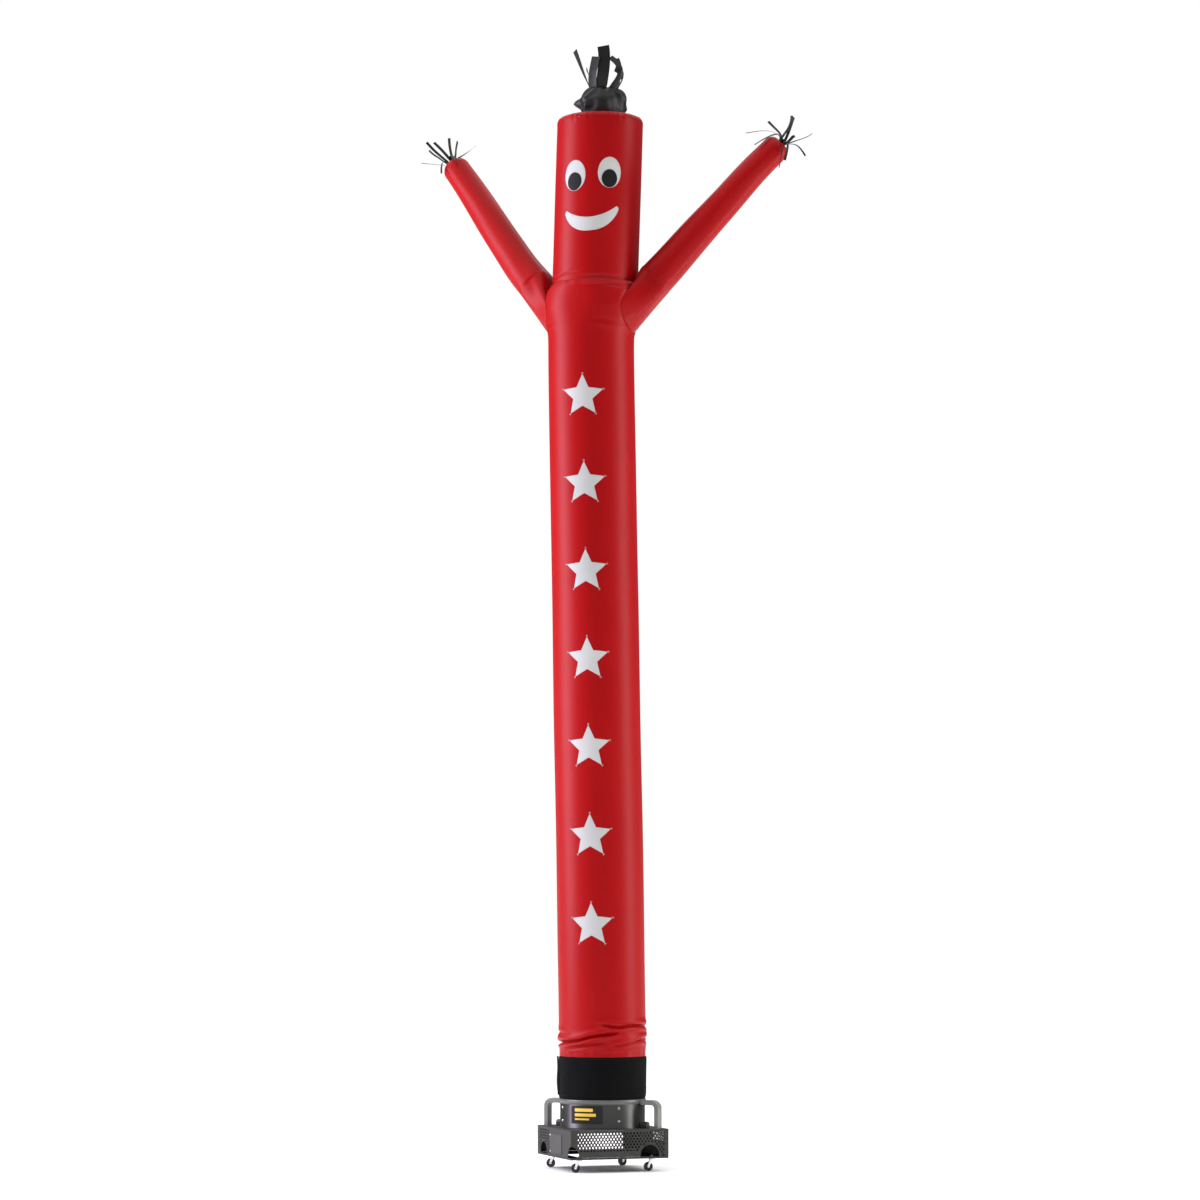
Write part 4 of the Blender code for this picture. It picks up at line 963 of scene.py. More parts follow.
# ---- ribbons --------------------------------------------------------------------------------
RIBBONS_RIGHT = (
    # seg  x1      y1      z1      x2      y2      z2     width  twist curl
    (0, 0.0300, 0.0400, 0.1000, 0.0450, 0.0900, 0.1500, 0.015, 0.4, 0.2),
    (1, -0.0444, 0.0300, 0.0556, -0.0900, 0.0500, 0.1250, 0.015, -0.5, 0.3),
    (2, -0.0597, 0.0050, 0.0722, -0.2050, -0.0050, 0.0550, 0.016, 0.3, 0.2),
    (3, -0.0401, -0.0500, 0.0509, -0.1450, -0.0800, -0.0300, 0.015, 0.6, 0.1),
    (4, 0.0350, -0.0100, 0.0600, 0.0520, -0.0200, 0.1350, 0.018, 0.2, 0.1),
    (5, 0.0167, -0.0900, -0.0108, -0.0080, -0.1050, -0.1650, 0.014, -0.3, 0.1),
    (6, 0.0378, -0.0700, -0.0336, 0.0200, -0.0800, -0.1200, 0.015, 0.5, 0.2),
    (7, 0.0800, -0.0350, -0.0250, 0.1650, -0.0350, 0.0300, 0.016, 0.4, 0.4),
    (8, 0.0650, 0.0300, -0.0100, 0.1150, 0.0450, -0.0750, 0.015, -0.6, 0.2),
    (9, 0.0450, 0.0250, 0.0250, 0.0600, 0.0300, 0.0330, 0.022, 0.2, 0.6),
)
RIBBONS_LEFT = (
    (8, 0.0471, 0.0366, 0.0242, 0.1250, 0.0500, 0.1000, 0.015, 0.8, 0.8),
    (7, 0.0150, 0.0600, 0.0850, 0.0000, 0.1100, 0.1450, 0.015, 0.2, 0.2),
    (6, -0.0250, 0.0450, 0.0850, -0.0350, 0.0600, 0.1550, 0.015, -0.3, 0.1),
    (0, -0.0600, 0.0400, 0.0700, -0.1250, 0.0650, 0.1350, 0.016, 0.3, 0.1),
    (1, -0.0900, 0.0000, 0.0500, -0.1500, -0.0050, 0.1220, 0.016, -0.3, 0.1),
    (3, -0.0800, -0.0450, 0.0150, -0.1200, -0.0600, 0.0650, 0.014, 0.4, 0.3),
    (2, -0.0862, -0.0493, -0.0332, -0.1650, -0.0600, -0.0050, 0.015, 0.2, 0.1),
    (4, -0.0508, -0.0730, 0.0004, -0.0350, -0.1100, -0.0800, 0.013, -0.4, 0.1),
    (5, 0.0123, -0.0719, 0.0432, 0.0600, -0.1250, -0.0150, 0.014, 0.5, 0.5),
)
HAIR = (
    (0, 0.1500, 0.0200, 0.0600, 0.0640, 0.0250, 0.1350, 0.052, 0.6, 0.3),
    (1, 0.1000, 0.0850, 0.1000, 0.0560, 0.1050, 0.2050, 0.024, 1.1, 0.2),
    (3, -0.0900, 0.0850, 0.0600, -0.1160, 0.1100, 0.1580, 0.040, 1.1, 0.3),
    (4, -0.1020, 0.0050, 0.0800, -0.1620, 0.0050, 0.2350, 0.044, 0.7, 0.1),
    (5, -0.0440, -0.0780, 0.1000, -0.0250, -0.0780, 0.1780, 0.076, 0.0, 0.1),
    (6, 0.0390, -0.0960, 0.1050, 0.0205, -0.0960, 0.2310, 0.066, 0.0, 0.1),
    (7, 0.1800, -0.0700, 0.0650, 0.0540, -0.0660, 0.1740, 0.034, -0.3, 0.5),
)


def ribbon(verts, faces, uvs, start, p0, p1, p2, side_way, width, twist, curl, thick=0.0007,
           rows=26, cols=5, root=None):
    """One free strip: out of the ring, over to where it hangs, with a slow
    twist, a curl across its width and a cut end."""
    root = width if root is None else root
    start, p0, p1, p2 = (np.asarray(q, float) for q in (start, p0, p1, p2))
    ts = np.linspace(0, 1, rows)
    line = np.array([start * (1 - t) ** 3 + p0 * 3 * t * (1 - t) ** 2 + p1 * 3 * t * t * (1 - t)
                     + p2 * t ** 3 for t in ts])
    tan = np.gradient(line, axis=0)
    tan /= np.linalg.norm(tan, axis=1)[:, None]
    length = np.concatenate([[0], np.cumsum(np.linalg.norm(np.diff(line, axis=0), axis=1))])
    w = np.asarray(side_way, float)
    prev = w
    base = len(verts)
    for layer in (0.5, -0.5):
        prev = w
        for k in range(rows):
            d = tan[k]
            v = prev - d * prev.dot(d)
            v /= np.linalg.norm(v)
            prev = v
            n = np.cross(d, v)
            a = twist * ts[k] ** 1.3
            vv = v * math.cos(a) + n * math.sin(a)
            nn = n * math.cos(a) - v * math.sin(a)
            wd = root + (width - root) * min(1.0, ts[k] * 4)
            wob = 0.0016 * math.sin(9 * ts[k] + 7 * twist)
            for c in range(cols):
                q = -0.5 + c / (cols - 1)
                cup = curl * wd * (q * q * 1.2 - 0.1) * math.sin(math.pi * min(1, ts[k] * 1.1))
                verts.append(line[k] + vv * (q * wd) + nn * (cup + wob + layer * thick))
                uvs.append((q * wd, length[k]))
    m = rows * cols
    for k in range(rows - 1):
        for c in range(cols - 1):
            a = base + k * cols + c
            faces.append((a, a + 1, a + cols + 1, a + cols))
            faces.append((a + m, a + m + cols, a + m + cols + 1, a + m + 1))
    for k in range(rows - 1):
        a, b = base + k * cols, base + (k + 1) * cols
        faces.append((a, b, b + m, a + m))
        a, b = a + cols - 1, b + cols - 1
        faces.append((a, a + m, b + m, b))
    for c in range(cols - 1):
        a = base + c
        faces.append((a, a + m, a + m + 1, a + 1))
        a = base + (rows - 1) * cols + c
        faces.append((a, a + 1, a + 1 + m, a + m))


def ribbon_set(name, n, ring_r, ring_h, centre, axis, across, rows, band=True):
    axis = Vector(axis).normalized()
    u = Vector(across)
    u = (u - axis * u.dot(axis)).normalized()
    v = axis.cross(u)
    centre = Vector(centre)

    def at(i, r, h):
        w = 2 * math.pi * i / n
        return centre + (u * math.cos(w) + v * math.sin(w)) * r + axis * h

    verts, faces, uvs = [], [], []
    seg_width = 2 * ring_r * math.sin(math.pi / n)
    for seg, x1, y1, z1, x2, y2, z2, width, twist, curl in rows:
        mid = at(seg, ring_r * math.cos(math.pi / n) - 0.0004, ring_h * 0.2)
        side_way = at(seg + 0.5, 1, 0) - at(seg - 0.5, 1, 0)
        out = (at(seg, 1.0, 0.0) - centre).normalized()
        p0 = mid + axis * (ring_h * 2.5) + out * (ring_h * 0.8)
        p1 = centre + axis * (ring_h * 2) + Vector((x1, y1, z1))
        p2 = centre + axis * ring_h + Vector((x2, y2, z2))
        ribbon(verts, faces, uvs, mid, p0, p1, p2, side_way.normalized(), width, twist, curl,
               root=min(width, seg_width * 0.95))
    # the band that the ribbons are sewn to
    k = 64
    base = len(verts)
    for r, h in ((ring_r, 0), (ring_r * 1.02, ring_h * 0.5), (ring_r, ring_h),
                 (ring_r - 0.0012, ring_h), (ring_r - 0.0012, 0)):
        for i in range(k):
            q = at(i * n / k, r * (1 + 0.03 * math.sin(2 * math.pi * 7 * i / k)), h)
            verts.append(tuple(q))
            uvs.append((i * 2 * math.pi * ring_r / k, h))
    for a in range(5):
        b = (a + 1) % 5
        for i in range(k):
            j = (i + 1) % k
            faces.append((base + a * k + i, base + a * k + j, base + b * k + j, base + b * k + i))
    obj = new_object(name, verts, faces, RIBBON, uvs=uvs)
    face_out(obj)
    obj.data.set_sharp_from_angle(angle=math.radians(50))
    return obj


ribbons = {}
for end, rows in (("right", RIBBONS_RIGHT), ("left", RIBBONS_LEFT)):
    hub, before = (Vector((AX + q[0], AY + q[1], q[2])) for q in ARM_END[end])
    way = (hub - before).normalized()
    ribbons[end] = ribbon_set("ribbon_cloth_" + end, 10, 0.0230, 0.0120, hub + way * 0.0010,
                              way, (0, 1, 0), rows)
    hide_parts("ribbons_" + end)
hair = ribbon_set("hair_cloth", 8, 0.0750, 0.0120, (AX + 0.004, AY, 5.8620), (0, 0, 1),
                  (1, 0, 0), HAIR)
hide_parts("hair_ribbons")

# ---- vent sleeve -----------------------------------------------------------------------------
SLEEVE = ((5.7322, -0.0080, 0.1185, 0.00), (5.7550, -0.0040, 0.1220, 0.03), (5.7850, 0.0000, 0.1260, 0.05),
          (5.8150, 0.0030, 0.1250, 0.05), (5.8420, 0.0050, 0.1150, 0.05), (5.8660, 0.0060, 0.0980, 0.05),
          (5.8820, 0.0060, 0.0800, 0.03))
KNOB_AT, KNOB_OUT = math.radians(192.0), 0.034    # a pinched fold on the far left


def sleeve_mesh():
    n, m = 220, 76
    z = np.linspace(SLEEVE[0][0], SLEEVE[-1][0], m)
    cx = hermite(z, column(SLEEVE, 0), column(SLEEVE, 1))
    r = hermite(z, column(SLEEVE, 0), column(SLEEVE, 2))
    fold = hermite(z, column(SLEEVE, 0), column(SLEEVE, 3))
    verts, uvs = [], []
    for k in range(m):
        for i in range(n):
            w = 2 * math.pi * i / n
            q = Vector((math.cos(w) * 2.0, math.sin(w) * 2.0, z[k] * 15.0 + 0.9 * math.cos(2 * w)))
            crush = noise.noise(q * 0.55) * 0.9 - abs(noise.noise(q * 0.62)) * 1.9 + 0.42
            rr = r[k] * (1 + fold[k] * (math.sin(3 * w + 1.1) + 0.6 * math.sin(7 * w + 30 * z[k])))
            rr += 0.017 * crush * min(1.0, fold[k] * 25)
            pinch = min(1.0, 1.5 * float(bell(wrap(w - KNOB_AT), 0.27)))
            rr += KNOB_OUT * pinch * float(bell(z[k] - 5.8050, 0.0230))
            rr -= 0.014 * pinch * float(bell(z[k] - 5.7620, 0.0160))
            verts.append((AX + cx[k] + rr * math.cos(w), AY + rr * math.sin(w),
                          z[k] + 0.004 * crush * min(1.0, fold[k] * 25)))
            uvs.append((w * 0.11, z[k]))
    faces = []
    for k in range(m - 1):
        for i in range(n):
            j = (i + 1) % n
            faces.append((k * n + i, k * n + j, (k + 1) * n + j, (k + 1) * n + i))
    obj = new_object("hair_sleeve_cloth", verts, faces, RIBBON, uvs=uvs)
    mod = obj.modifiers.new("Solidify", "SOLIDIFY")
    mod.thickness = 0.0010
    apply_all(obj)
    face_out(obj)
    return obj


sleeve = sleeve_mesh()

# ---- the blower's own frame of reference ---------------------------------------------------------
BLOWER = Matrix.Translation((AX, AY, 0)) @ Matrix.Rotation(TURN, 4, "Z")
BOXM = BLOWER @ Matrix.Rotation(math.radians(45), 4, "Z")
DUCT_R = 0.2286


def put(obj, matrix):
    obj.data.transform(matrix)
    return obj


# ---- cuff ----------------------------------------------------------------------------------------
def cuff_mesh():
    zs = np.array([0.3796, 0.384, 0.390, 0.398, 0.410, 0.425, 0.445, 0.47, 0.50, 0.53, 0.56, 0.58,
                   0.592, 0.599, 0.6030, 0.6050])
    rs = np.array([0.2306, 0.2322, 0.2340, 0.2356, 0.2364, 0.2366, 0.2364, 0.2362, 0.2362, 0.2362,
                   0.2363, 0.2364, 0.2360, 0.2352, 0.2342, 0.2334])
    z = np.concatenate([np.linspace(0.3796, 0.41, 14)[:-1], np.linspace(0.41, 0.585, 46)[:-1],
                        np.linspace(0.585, 0.605, 10)])
    r = hermite(z, zs, rs)
    n = 240
    verts, uvs = [], []
    for k in range(len(z)):
        for i in range(n):
            w = 2 * math.pi * i / n
            d = (0.0010 * math.sin(5 * w + 9 * z[k]) + 0.0007 * math.sin(11 * w - 14 * z[k])
                 + 0.0008 * noise.noise(Vector((math.cos(w) * 3, math.sin(w) * 3, z[k] * 9))))
            d -= 0.0018 * float(bell(z[k] - 0.3955, 0.0022))
            rr = r[k] + d
            verts.append((rr * math.cos(w), rr * math.sin(w), z[k]))
            uvs.append((w * 0.2365, z[k]))
    faces = []
    for k in range(len(z) - 1):
        for i in range(n):
            j = (i + 1) % n
            faces.append((k * n + i, k * n + j, (k + 1) * n + j, (k + 1) * n + i))
    obj = new_object("cuff_cloth", verts, faces, BLACK, uvs=uvs)
    mod = obj.modifiers.new("Solidify", "SOLIDIFY")
    mod.thickness = 0.0018
    apply_all(obj)
    face_out(obj)
    return put(obj, BLOWER)


cuff = cuff_mesh()
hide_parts("cuff")


def strap_mesh():
    """Closure strap: sewn down at one edge, its free edge standing off."""
    cols, rows = 30, 40
    verts, faces, uvs = [], [], []
    for layer in (1, 0):
        for k in range(rows + 1):
            z = 0.3970 + 0.2050 * k / rows
            for i in range(cols + 1):
                u = i / cols
                w = math.radians(-146 - 20 * u)
                lift = 0.0006 + 0.0125 * u ** 2.6 * (0.85 + 0.15 * math.sin(7 * z * 6 + 1))
                wave = 0.0012 * u * math.sin(26 * z + 0.7)
                r = 0.2374 + lift + wave + 0.0018 * layer
                verts.append((r * math.cos(w), r * math.sin(w), z + 0.0015 * math.sin(9 * u) * (k == rows)))
                uvs.append((w * 0.24, z))
    m = (rows + 1) * (cols + 1)
    for k in range(rows):
        for i in range(cols):
            a = k * (cols + 1) + i
            faces.append((a, a + 1, a + cols + 2, a + cols + 1))
            faces.append((a + m, a + m + cols + 1, a + m + cols + 2, a + m + 1))
    for k in range(rows):
        a, b = k * (cols + 1), (k + 1) * (cols + 1)
        faces.append((a, b, b + m, a + m))
        a, b = a + cols, b + cols
        faces.append((a, a + m, b + m, b))
    for i in range(cols):
        a = i
        faces.append((a, a + m, a + m + 1, a + 1))
        a = rows * (cols + 1) + i
        faces.append((a, a + 1, a + 1 + m, a + m))
    obj = new_object("cuff_strap_cloth", verts, faces, BLACK, uvs=uvs)
    face_out(obj)
    obj.data.set_sharp_from_angle(angle=math.radians(50))
    return put(obj, BLOWER)


strap = strap_mesh()
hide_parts("cuff_strap")

cuff_rows = []
for k, z in enumerate((0.4000, 0.5960)):
    n = 180
    w = 2 * math.pi * np.arange(n) / n
    r = 0.2372
    c = np.stack([r * np.cos(w), r * np.sin(w), np.full(n, z)], -1)
    o = stitches("c%d" % k, c, np.stack([np.cos(w), np.sin(w), 0 * w], -1), THREAD_BLACK)
    cuff_rows.append(put(o, BLOWER))
cuff_stitches = joined("cuff_stitches", cuff_rows, THREAD_BLACK)

# ---- duct --------------------------------------------------------------------------------------------
inner = DUCT_R - 0.0020
z0 = 0.2264
bead = [(0.2306 + 0.0030 * math.cos(a), 0.3685 + 0.0102 * math.sin(a))
        for a in np.radians(np.linspace(-80, 80, 13))]
profile = ([(inner, z0), (DUCT_R + 0.0008, z0), (DUCT_R + 0.0008, z0 + 0.006), (DUCT_R, z0 + 0.0075),
            (DUCT_R, 0.3530), (DUCT_R - 0.0004, 0.3536), (0.2274, 0.3540), (0.2274, 0.3578)]
           + bead + [(0.2274, 0.3790), (0.2274, 0.4650), (0.2254, 0.4650), (0.2254, 0.3500),
                     (inner, 0.3480)])
duct = from_bmesh("duct_shell", turned(profile, 160), DUCT)
# rolled joint of the sheet, at the back
joint = from_bmesh("duct_seam", prism(
    [(0.010 * math.cos(a), 0.0010 + 0.0012 * math.sin(a)) for a in np.radians(np.linspace(0, 180, 9))],
    0.2350, 0.3520, lambda a, b, c: (a, DUCT_R - 0.0004 + b, c)), DUCT)
duct = joined("duct_shell", [duct, joint], DUCT)
# the rim bead's faces take the lighter copy of the duct paint: a painted highlight along the top edge
duct.data.materials.append(RIM_LIT)
for f in duct.data.polygons:
    if 0.3536 < f.center.z < 0.3792 and math.hypot(f.center.x, f.center.y) > 0.2272:
        f.material_index = 1
put(duct, BLOWER)
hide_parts("duct")

# label: a thin plate with rounded corners and plain stripes
LABEL_MID = math.radians(2.5 - 90)


def on_duct(s, z, lift):
    w = LABEL_MID + s / DUCT_R
    return ((DUCT_R + lift) * math.cos(w), (DUCT_R + lift) * math.sin(w), z)


def curved_plate(name, s0, s1, za, zb, lift, thick, mat, corner=0.004, cols=24):
    """Plate bent round the duct, with rounded corners."""
    outline = []
    for cx, cz, a0 in ((s1 - corner, zb - corner, 0), (s0 + corner, zb - corner, 90),
                       (s0 + corner, za + corner, 180), (s1 - corner, za + corner, 270)):
        outline += [(cx + corner * math.cos(math.radians(a0 + 15 * k)),
                     cz + corner * math.sin(math.radians(a0 + 15 * k))) for k in range(7)]
    bm = bmesh.new()
    bm.faces.new([bm.verts.new((s, 0, z)) for s, z in outline])
    for k in range(1, cols):
        bmesh.ops.bisect_plane(bm, geom=bm.verts[:] + bm.edges[:] + bm.faces[:], dist=1e-7,
                               plane_co=(s0 + (s1 - s0) * k / cols, 0, 0), plane_no=(1, 0, 0))
    bm.verts.ensure_lookup_table()
    top = [on_duct(v.co.x, v.co.z, lift + thick) for v in bm.verts]
    low = [on_duct(v.co.x, v.co.z, lift) for v in bm.verts]
    n = len(top)
    faces = []
    for f in bm.faces:
        ids = [v.index for v in f.verts]
        faces += [ids, [i + n for i in reversed(ids)]]
    for e in bm.edges:
        if e.is_boundary:
            a, b = (v.index for v in e.verts)
            faces.append((a, b, b + n, a + n))
    bm.free()
    obj = new_object(name, top + low, faces, mat)
    face_out(obj)
    obj.data.set_sharp_from_angle(angle=math.radians(40))
    return obj


half = math.radians(23.3) * DUCT_R
plate = [curved_plate("l0", -half, half, 0.2544, 0.3494, 0.0004, 0.0006, LABEL)]
for k, (s0, s1, za, zb) in enumerate((
        (-0.068, 0.040, 0.3180, 0.3350), (-0.068, 0.056, 0.2925, 0.3085),
        (-0.068, 0.020, 0.2735, 0.2825))):
    plate.append(curved_plate("l%d" % (k + 1), s0, s1, za, zb, 0.0010, 0.0002, YELLOW,
                              corner=0.0035, cols=14))
label = put(joined("label_plate", plate), BLOWER)
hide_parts("label")


def bolt_head(metal):
    washer = from_bmesh("w", lathe([(0.0078, 0.0), (0.0078, 0.0010), (0.0072, 0.0014)], 32), metal)
    dome = [(0.0058, 0.0013)] + [(0.0060 * math.cos(a), 0.0022 + 0.0030 * math.sin(a))
                                 for a in np.radians(np.linspace(0, 75, 7))]
    cap = from_bmesh("d", lathe(dome, 24), metal)
    return joined("bolt", [washer, cap], metal)


for k in range(4):
    turn = math.radians(2.5 - 45 + 90 * k)
    for level, z in (("low", 0.2660), ("high", 0.3360)):
        obj = bolt_head(ZINC if k == 3 else DULL_ZINC)
        obj.name = "bolt_head_%d_%s" % (k + 1, level)
        put(obj, BLOWER @ Matrix.Translation((math.cos(turn) * (DUCT_R + 0.0002),
                                              math.sin(turn) * (DUCT_R + 0.0002), z))
            @ Matrix.Rotation(turn, 4, "Z") @ Matrix.Rotation(math.pi / 2, 4, "Y"))
        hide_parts("bolt_%d_%s" % (k + 1, level))
        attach(obj, "root")

# ---- handles and feet --------------------------------------------------------------------------------
foot_z = 0.2264
outline = [(0.2340, 0.3740)] + arc(0.3400 - 0.043, 0.3740 - 0.043, 0.043, 90, 0, 20)
outline += [(0.3400, foot_z), (0.3150, foot_z)]
outline += arc(0.3150 - 0.018, 0.3490 - 0.018, 0.018, 0, 90, 12) + [(0.2340, 0.3490)]
tab = [(-0.021, foot_z), (-0.021, foot_z + 0.0170)]
tab += [(-0.021 * math.cos(a), foot_z + 0.0170 + 0.0170 * math.sin(a))
        for a in np.radians(np.linspace(9, 171, 17))]
tab += [(0.021, foot_z + 0.0170), (0.021, foot_z)]
for side, k in (("right", 1), ("left", -1)):
    bar = from_bmesh("h", prism(outline, -0.025, 0.025, lambda a, b, c, k=k: (k * a, c, b)), HANDLE)
    bevelled(bar, 0.0035, 3, 50)
    # weld bead round the leg, and the clip at the rim
    weld = from_bmesh("w", loops_mesh([
        [(k * (0.3275 + a * (0.0125 + g)), b * (0.025 + g), foot_z + h)
         for a, b in ((1, 1), (-1, 1), (-1, -1), (1, -1))]
        for g, h in ((0.0035, 0.0), (0.0030, 0.0020), (0.0006, 0.0036), (-0.001, 0.0))], True), HANDLE)
    bevelled(weld, 0.0012, 2, 30)
    clip = from_bmesh("c", prism([(0.2338, 0.3470), (0.2480, 0.3470), (0.2480, 0.3505),
                                  (0.2338, 0.3505)], -0.021, 0.021,
                                 lambda a, b, c, k=k: (k * a, c, b)), BOX)
    bevelled(clip, 0.0008, 2, 50)
    handle = put(joined("handle_bar_" + side, [bar, weld, clip]), BLOWER)
    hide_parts("handle_" + side)
    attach(handle, "root")
    foot = from_bmesh("f", prism(tab, DUCT_R + 0.0008, 0.2700,
                                 lambda a, b, c, k=k: (k * c, a, b)), DUCT)
    bevelled(foot, 0.0020, 3, 50)
    bolt = bolt_head(DULL_ZINC)
    put(bolt, Matrix.Translation((k * 0.2698, 0, foot_z + 0.018)) @ Matrix.Rotation(
        0 if k > 0 else math.pi, 4, "Z") @ Matrix.Rotation(math.pi / 2, 4, "Y"))
    foot = put(joined("duct_foot_block_" + side, [foot, bolt]), BLOWER)
    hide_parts("duct_foot_" + side)
    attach(foot, "root")

# ---- box -----------------------------------------------------------------------------------------------
H = 0.2760
BZ0, BZ1 = 0.0710, 0.2260


def filled_outline(name, outer, holes, thick, mat, bevel=0.0):
    """Flat plate from an outline with holes, lying in (a, b) with its
    thickness along c, from 0 to thick."""
    curve = bpy.data.curves.new(name, "CURVE")
    curve.dimensions = "2D"
    curve.fill_mode = "BOTH"
    curve.extrude = thick / 2
    curve.bevel_depth = bevel
    curve.bevel_resolution = 1
    curve.offset = -bevel
    for pts in [outer] + holes:
        spline = curve.splines.new("POLY")
        spline.points.add(len(pts) - 1)
        for q, (a, b) in zip(spline.points, pts):
            q.co = (a, b, 0.0, 1.0)
        spline.use_cyclic_u = True
    temp = bpy.data.objects.new(name, curve)
    scene.collection.objects.link(temp)
    deps = bpy.context.evaluated_depsgraph_get()
    mesh = bpy.data.meshes.new_from_object(temp.evaluated_get(deps))
    bpy.data.objects.remove(temp)
    bpy.data.curves.remove(curve)
    mesh.transform(Matrix.Translation((0, 0, thick / 2)))
    bm = bmesh.new()
    bm.from_mesh(mesh)
    bmesh.ops.remove_doubles(bm, verts=bm.verts[:], dist=1e-6)
    bpy.data.meshes.remove(mesh)
    obj = from_bmesh(name, bm, mat)
    return obj


def ring_points(a, b, rw, rh, n):
    return [(a + rw * math.cos(-2 * math.pi * i / n), b + rh * math.sin(-2 * math.pi * i / n))
            for i in range(n)]


PITCH, ROW = 0.0186, 0.0146
HOLE_W, HOLE_H = 0.0056, 0.0064      # half width and half height of a hole
P0, P1 = BZ0 + 0.011 + 0.0004, BZ1 - 0.003 - 0.0004
ARCH_C = H - 0.106


def panel_plate(name, end, arches, span, phase, first):
    """Sheet with staggered holes. span is the (s, z) range of the holes,
    phase and first place their columns and their top row."""
    lo = -end
    pts = [(lo, P1), (lo, P0), (end, P0), (end, P1)]
    if arches:
        pts = [(lo, P1), (lo, P0 + 0.060)]
        for i in range(1, 14):
            w = math.pi / 2 * i / 14
            pts.append((-H + 0.048 * math.sin(w), P0 + 0.060 * math.cos(w)))
        pts += [(-H + 0.048, P0), (ARCH_C - 0.052, P0)]
        pts += arc(ARCH_C, P0 + 0.010, 0.052, 180, 0, 32)
        pts += [(ARCH_C + 0.052, P0), (end, P0), (end, P1)]
    holes = []
    row = 0
    z = first
    while z > span[2]:
        k = -20
        while k < 21:
            s = (k + (0.5 if row % 2 else 0.0)) * PITCH + phase
            k += 1
            if not span[0] < s < span[1]:
                continue
            near_arch = math.hypot(s - ARCH_C, max(z - P0 - 0.010, 0)) < 0.052 + HOLE_H + 0.005
            near_notch = math.hypot((s + H) / 0.048, (z - P0) / 0.060) < 1 + (HOLE_H + 0.007) / 0.05
            if arches and (near_arch or near_notch):
                continue
            if name == "plate_front_right" and z < 0.1105 and s < 0.150:
                continue
            holes.append(ring_points(s, z, HOLE_W, HOLE_H, 14))
        z -= ROW
        row += 1
    return filled_outline(name, pts, holes, 0.0020, BOX)


def turn_plate(obj, axes):
    """Plate coordinates (a, b, c) to the box: axes gives the new point."""
    for v in obj.data.vertices:
        v.co = axes(v.co.x, v.co.y, v.co.z)
    face_out(obj)
    return obj


LOW = P0 + 0.0060
PANELS = (
    # name, half length, plate to box, arches, holes from, to and lowest, phase, top row
    ("panel_front_right", H, lambda s, z, d: (s, -H + d, z), True,
     (-0.2380, 0.2480, LOW), 0.0060, 0.2061),
    ("panel_front_left", H - 0.0024, lambda s, z, d: (-H + d, s, z), True,
     (0.0760, 0.2420, LOW), 0.0060, 0.2061),
    ("panel_back_right", H - 0.0024, lambda s, z, d: (H - d, -s, z), False,
     (0.0400, 0.2080, 0.1480), 0.0060, 0.2061),
    ("panel_back_left", H, lambda s, z, d: (-s, H - d, z), False,
     (-0.2110, 0.0440, LOW), 0.0030, 0.1955),
)
for name, end, axes, arches, span, phase, first in PANELS:
    plate = panel_plate(name.replace("panel", "plate"), end, arches, span, phase, first)
    parts = [turn_plate(plate, axes)]
    if not arches:
        obj = put(joined(name.replace("panel", "plate"), parts, BOX), BOXM)
        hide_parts(name)
        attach(obj, "root")
        continue
    # pressed collar round the arch
    rim = []
    for r_off, d in ((0.0, -0.0010), (0.0035, -0.0010), (0.0035, 0.0), (0.0, 0.0)):
        rim.append([axes(a, b, d) for a, b in
                    [(ARCH_C - 0.052 - r_off, P0)] + arc(ARCH_C, P0 + 0.010, 0.052 + r_off, 180, 0, 32)
                    + [(ARCH_C + 0.052 + r_off, P0)]])
    bm = bmesh.new()
    rows = [[bm.verts.new(q) for q in loop] for loop in rim]
    for a, b in zip(rows, rows[1:] + rows[:1]):
        for i in range(len(a) - 1):
            bm.faces.new((a[i], a[i + 1], b[i + 1], b[i]))
    bm.faces.new([r[0] for r in rows])
    bm.faces.new([r[-1] for r in rows])
    parts.append(from_bmesh("rim", bm, BOX))
    obj = put(joined(name.replace("panel", "plate"), parts, BOX), BOXM)
    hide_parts(name)
    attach(obj, "root")


def square(n, half, z, corner=0.0):
    pts = []
    for i in range(n):
        w = 2 * math.pi * i / n
        c, s = math.cos(w), math.sin(w)
        p = 24.0 if corner else 400.0
        k = half / (abs(c) ** p + abs(s) ** p) ** (1 / p)
        pts.append((k * c, k * s, z))
    return pts


n = 192
top = loops_mesh([square(n, H, BZ1 - 0.003), square(n, H, BZ1 - 0.0007), square(n, H - 0.0007, BZ1),
                  circle(n, 0.2150, BZ1), circle(n, 0.2150, BZ1 - 0.003)], True)
top_plate = from_bmesh("top_sheet", top, BOX)
put(top_plate, BOXM)
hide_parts("top_plate")

base = loops_mesh([square(n, h, z) for h, z in (
    (H - 0.0006, BZ0), (H, BZ0 + 0.0006), (H, BZ0 + 0.0105), (H - 0.0004, BZ0 + 0.0110),
    (H - 0.0016, BZ0 + 0.0110), (H - 0.0020, BZ0 + 0.0105), (H - 0.0020, BZ0 + 0.0020),
    (H - 0.1100, BZ0 + 0.0020), (H - 0.1100, BZ0))], True)
base_frame = from_bmesh("base_sheet", base, BOX)
put(base_frame, BOXM)
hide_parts("base_frame")

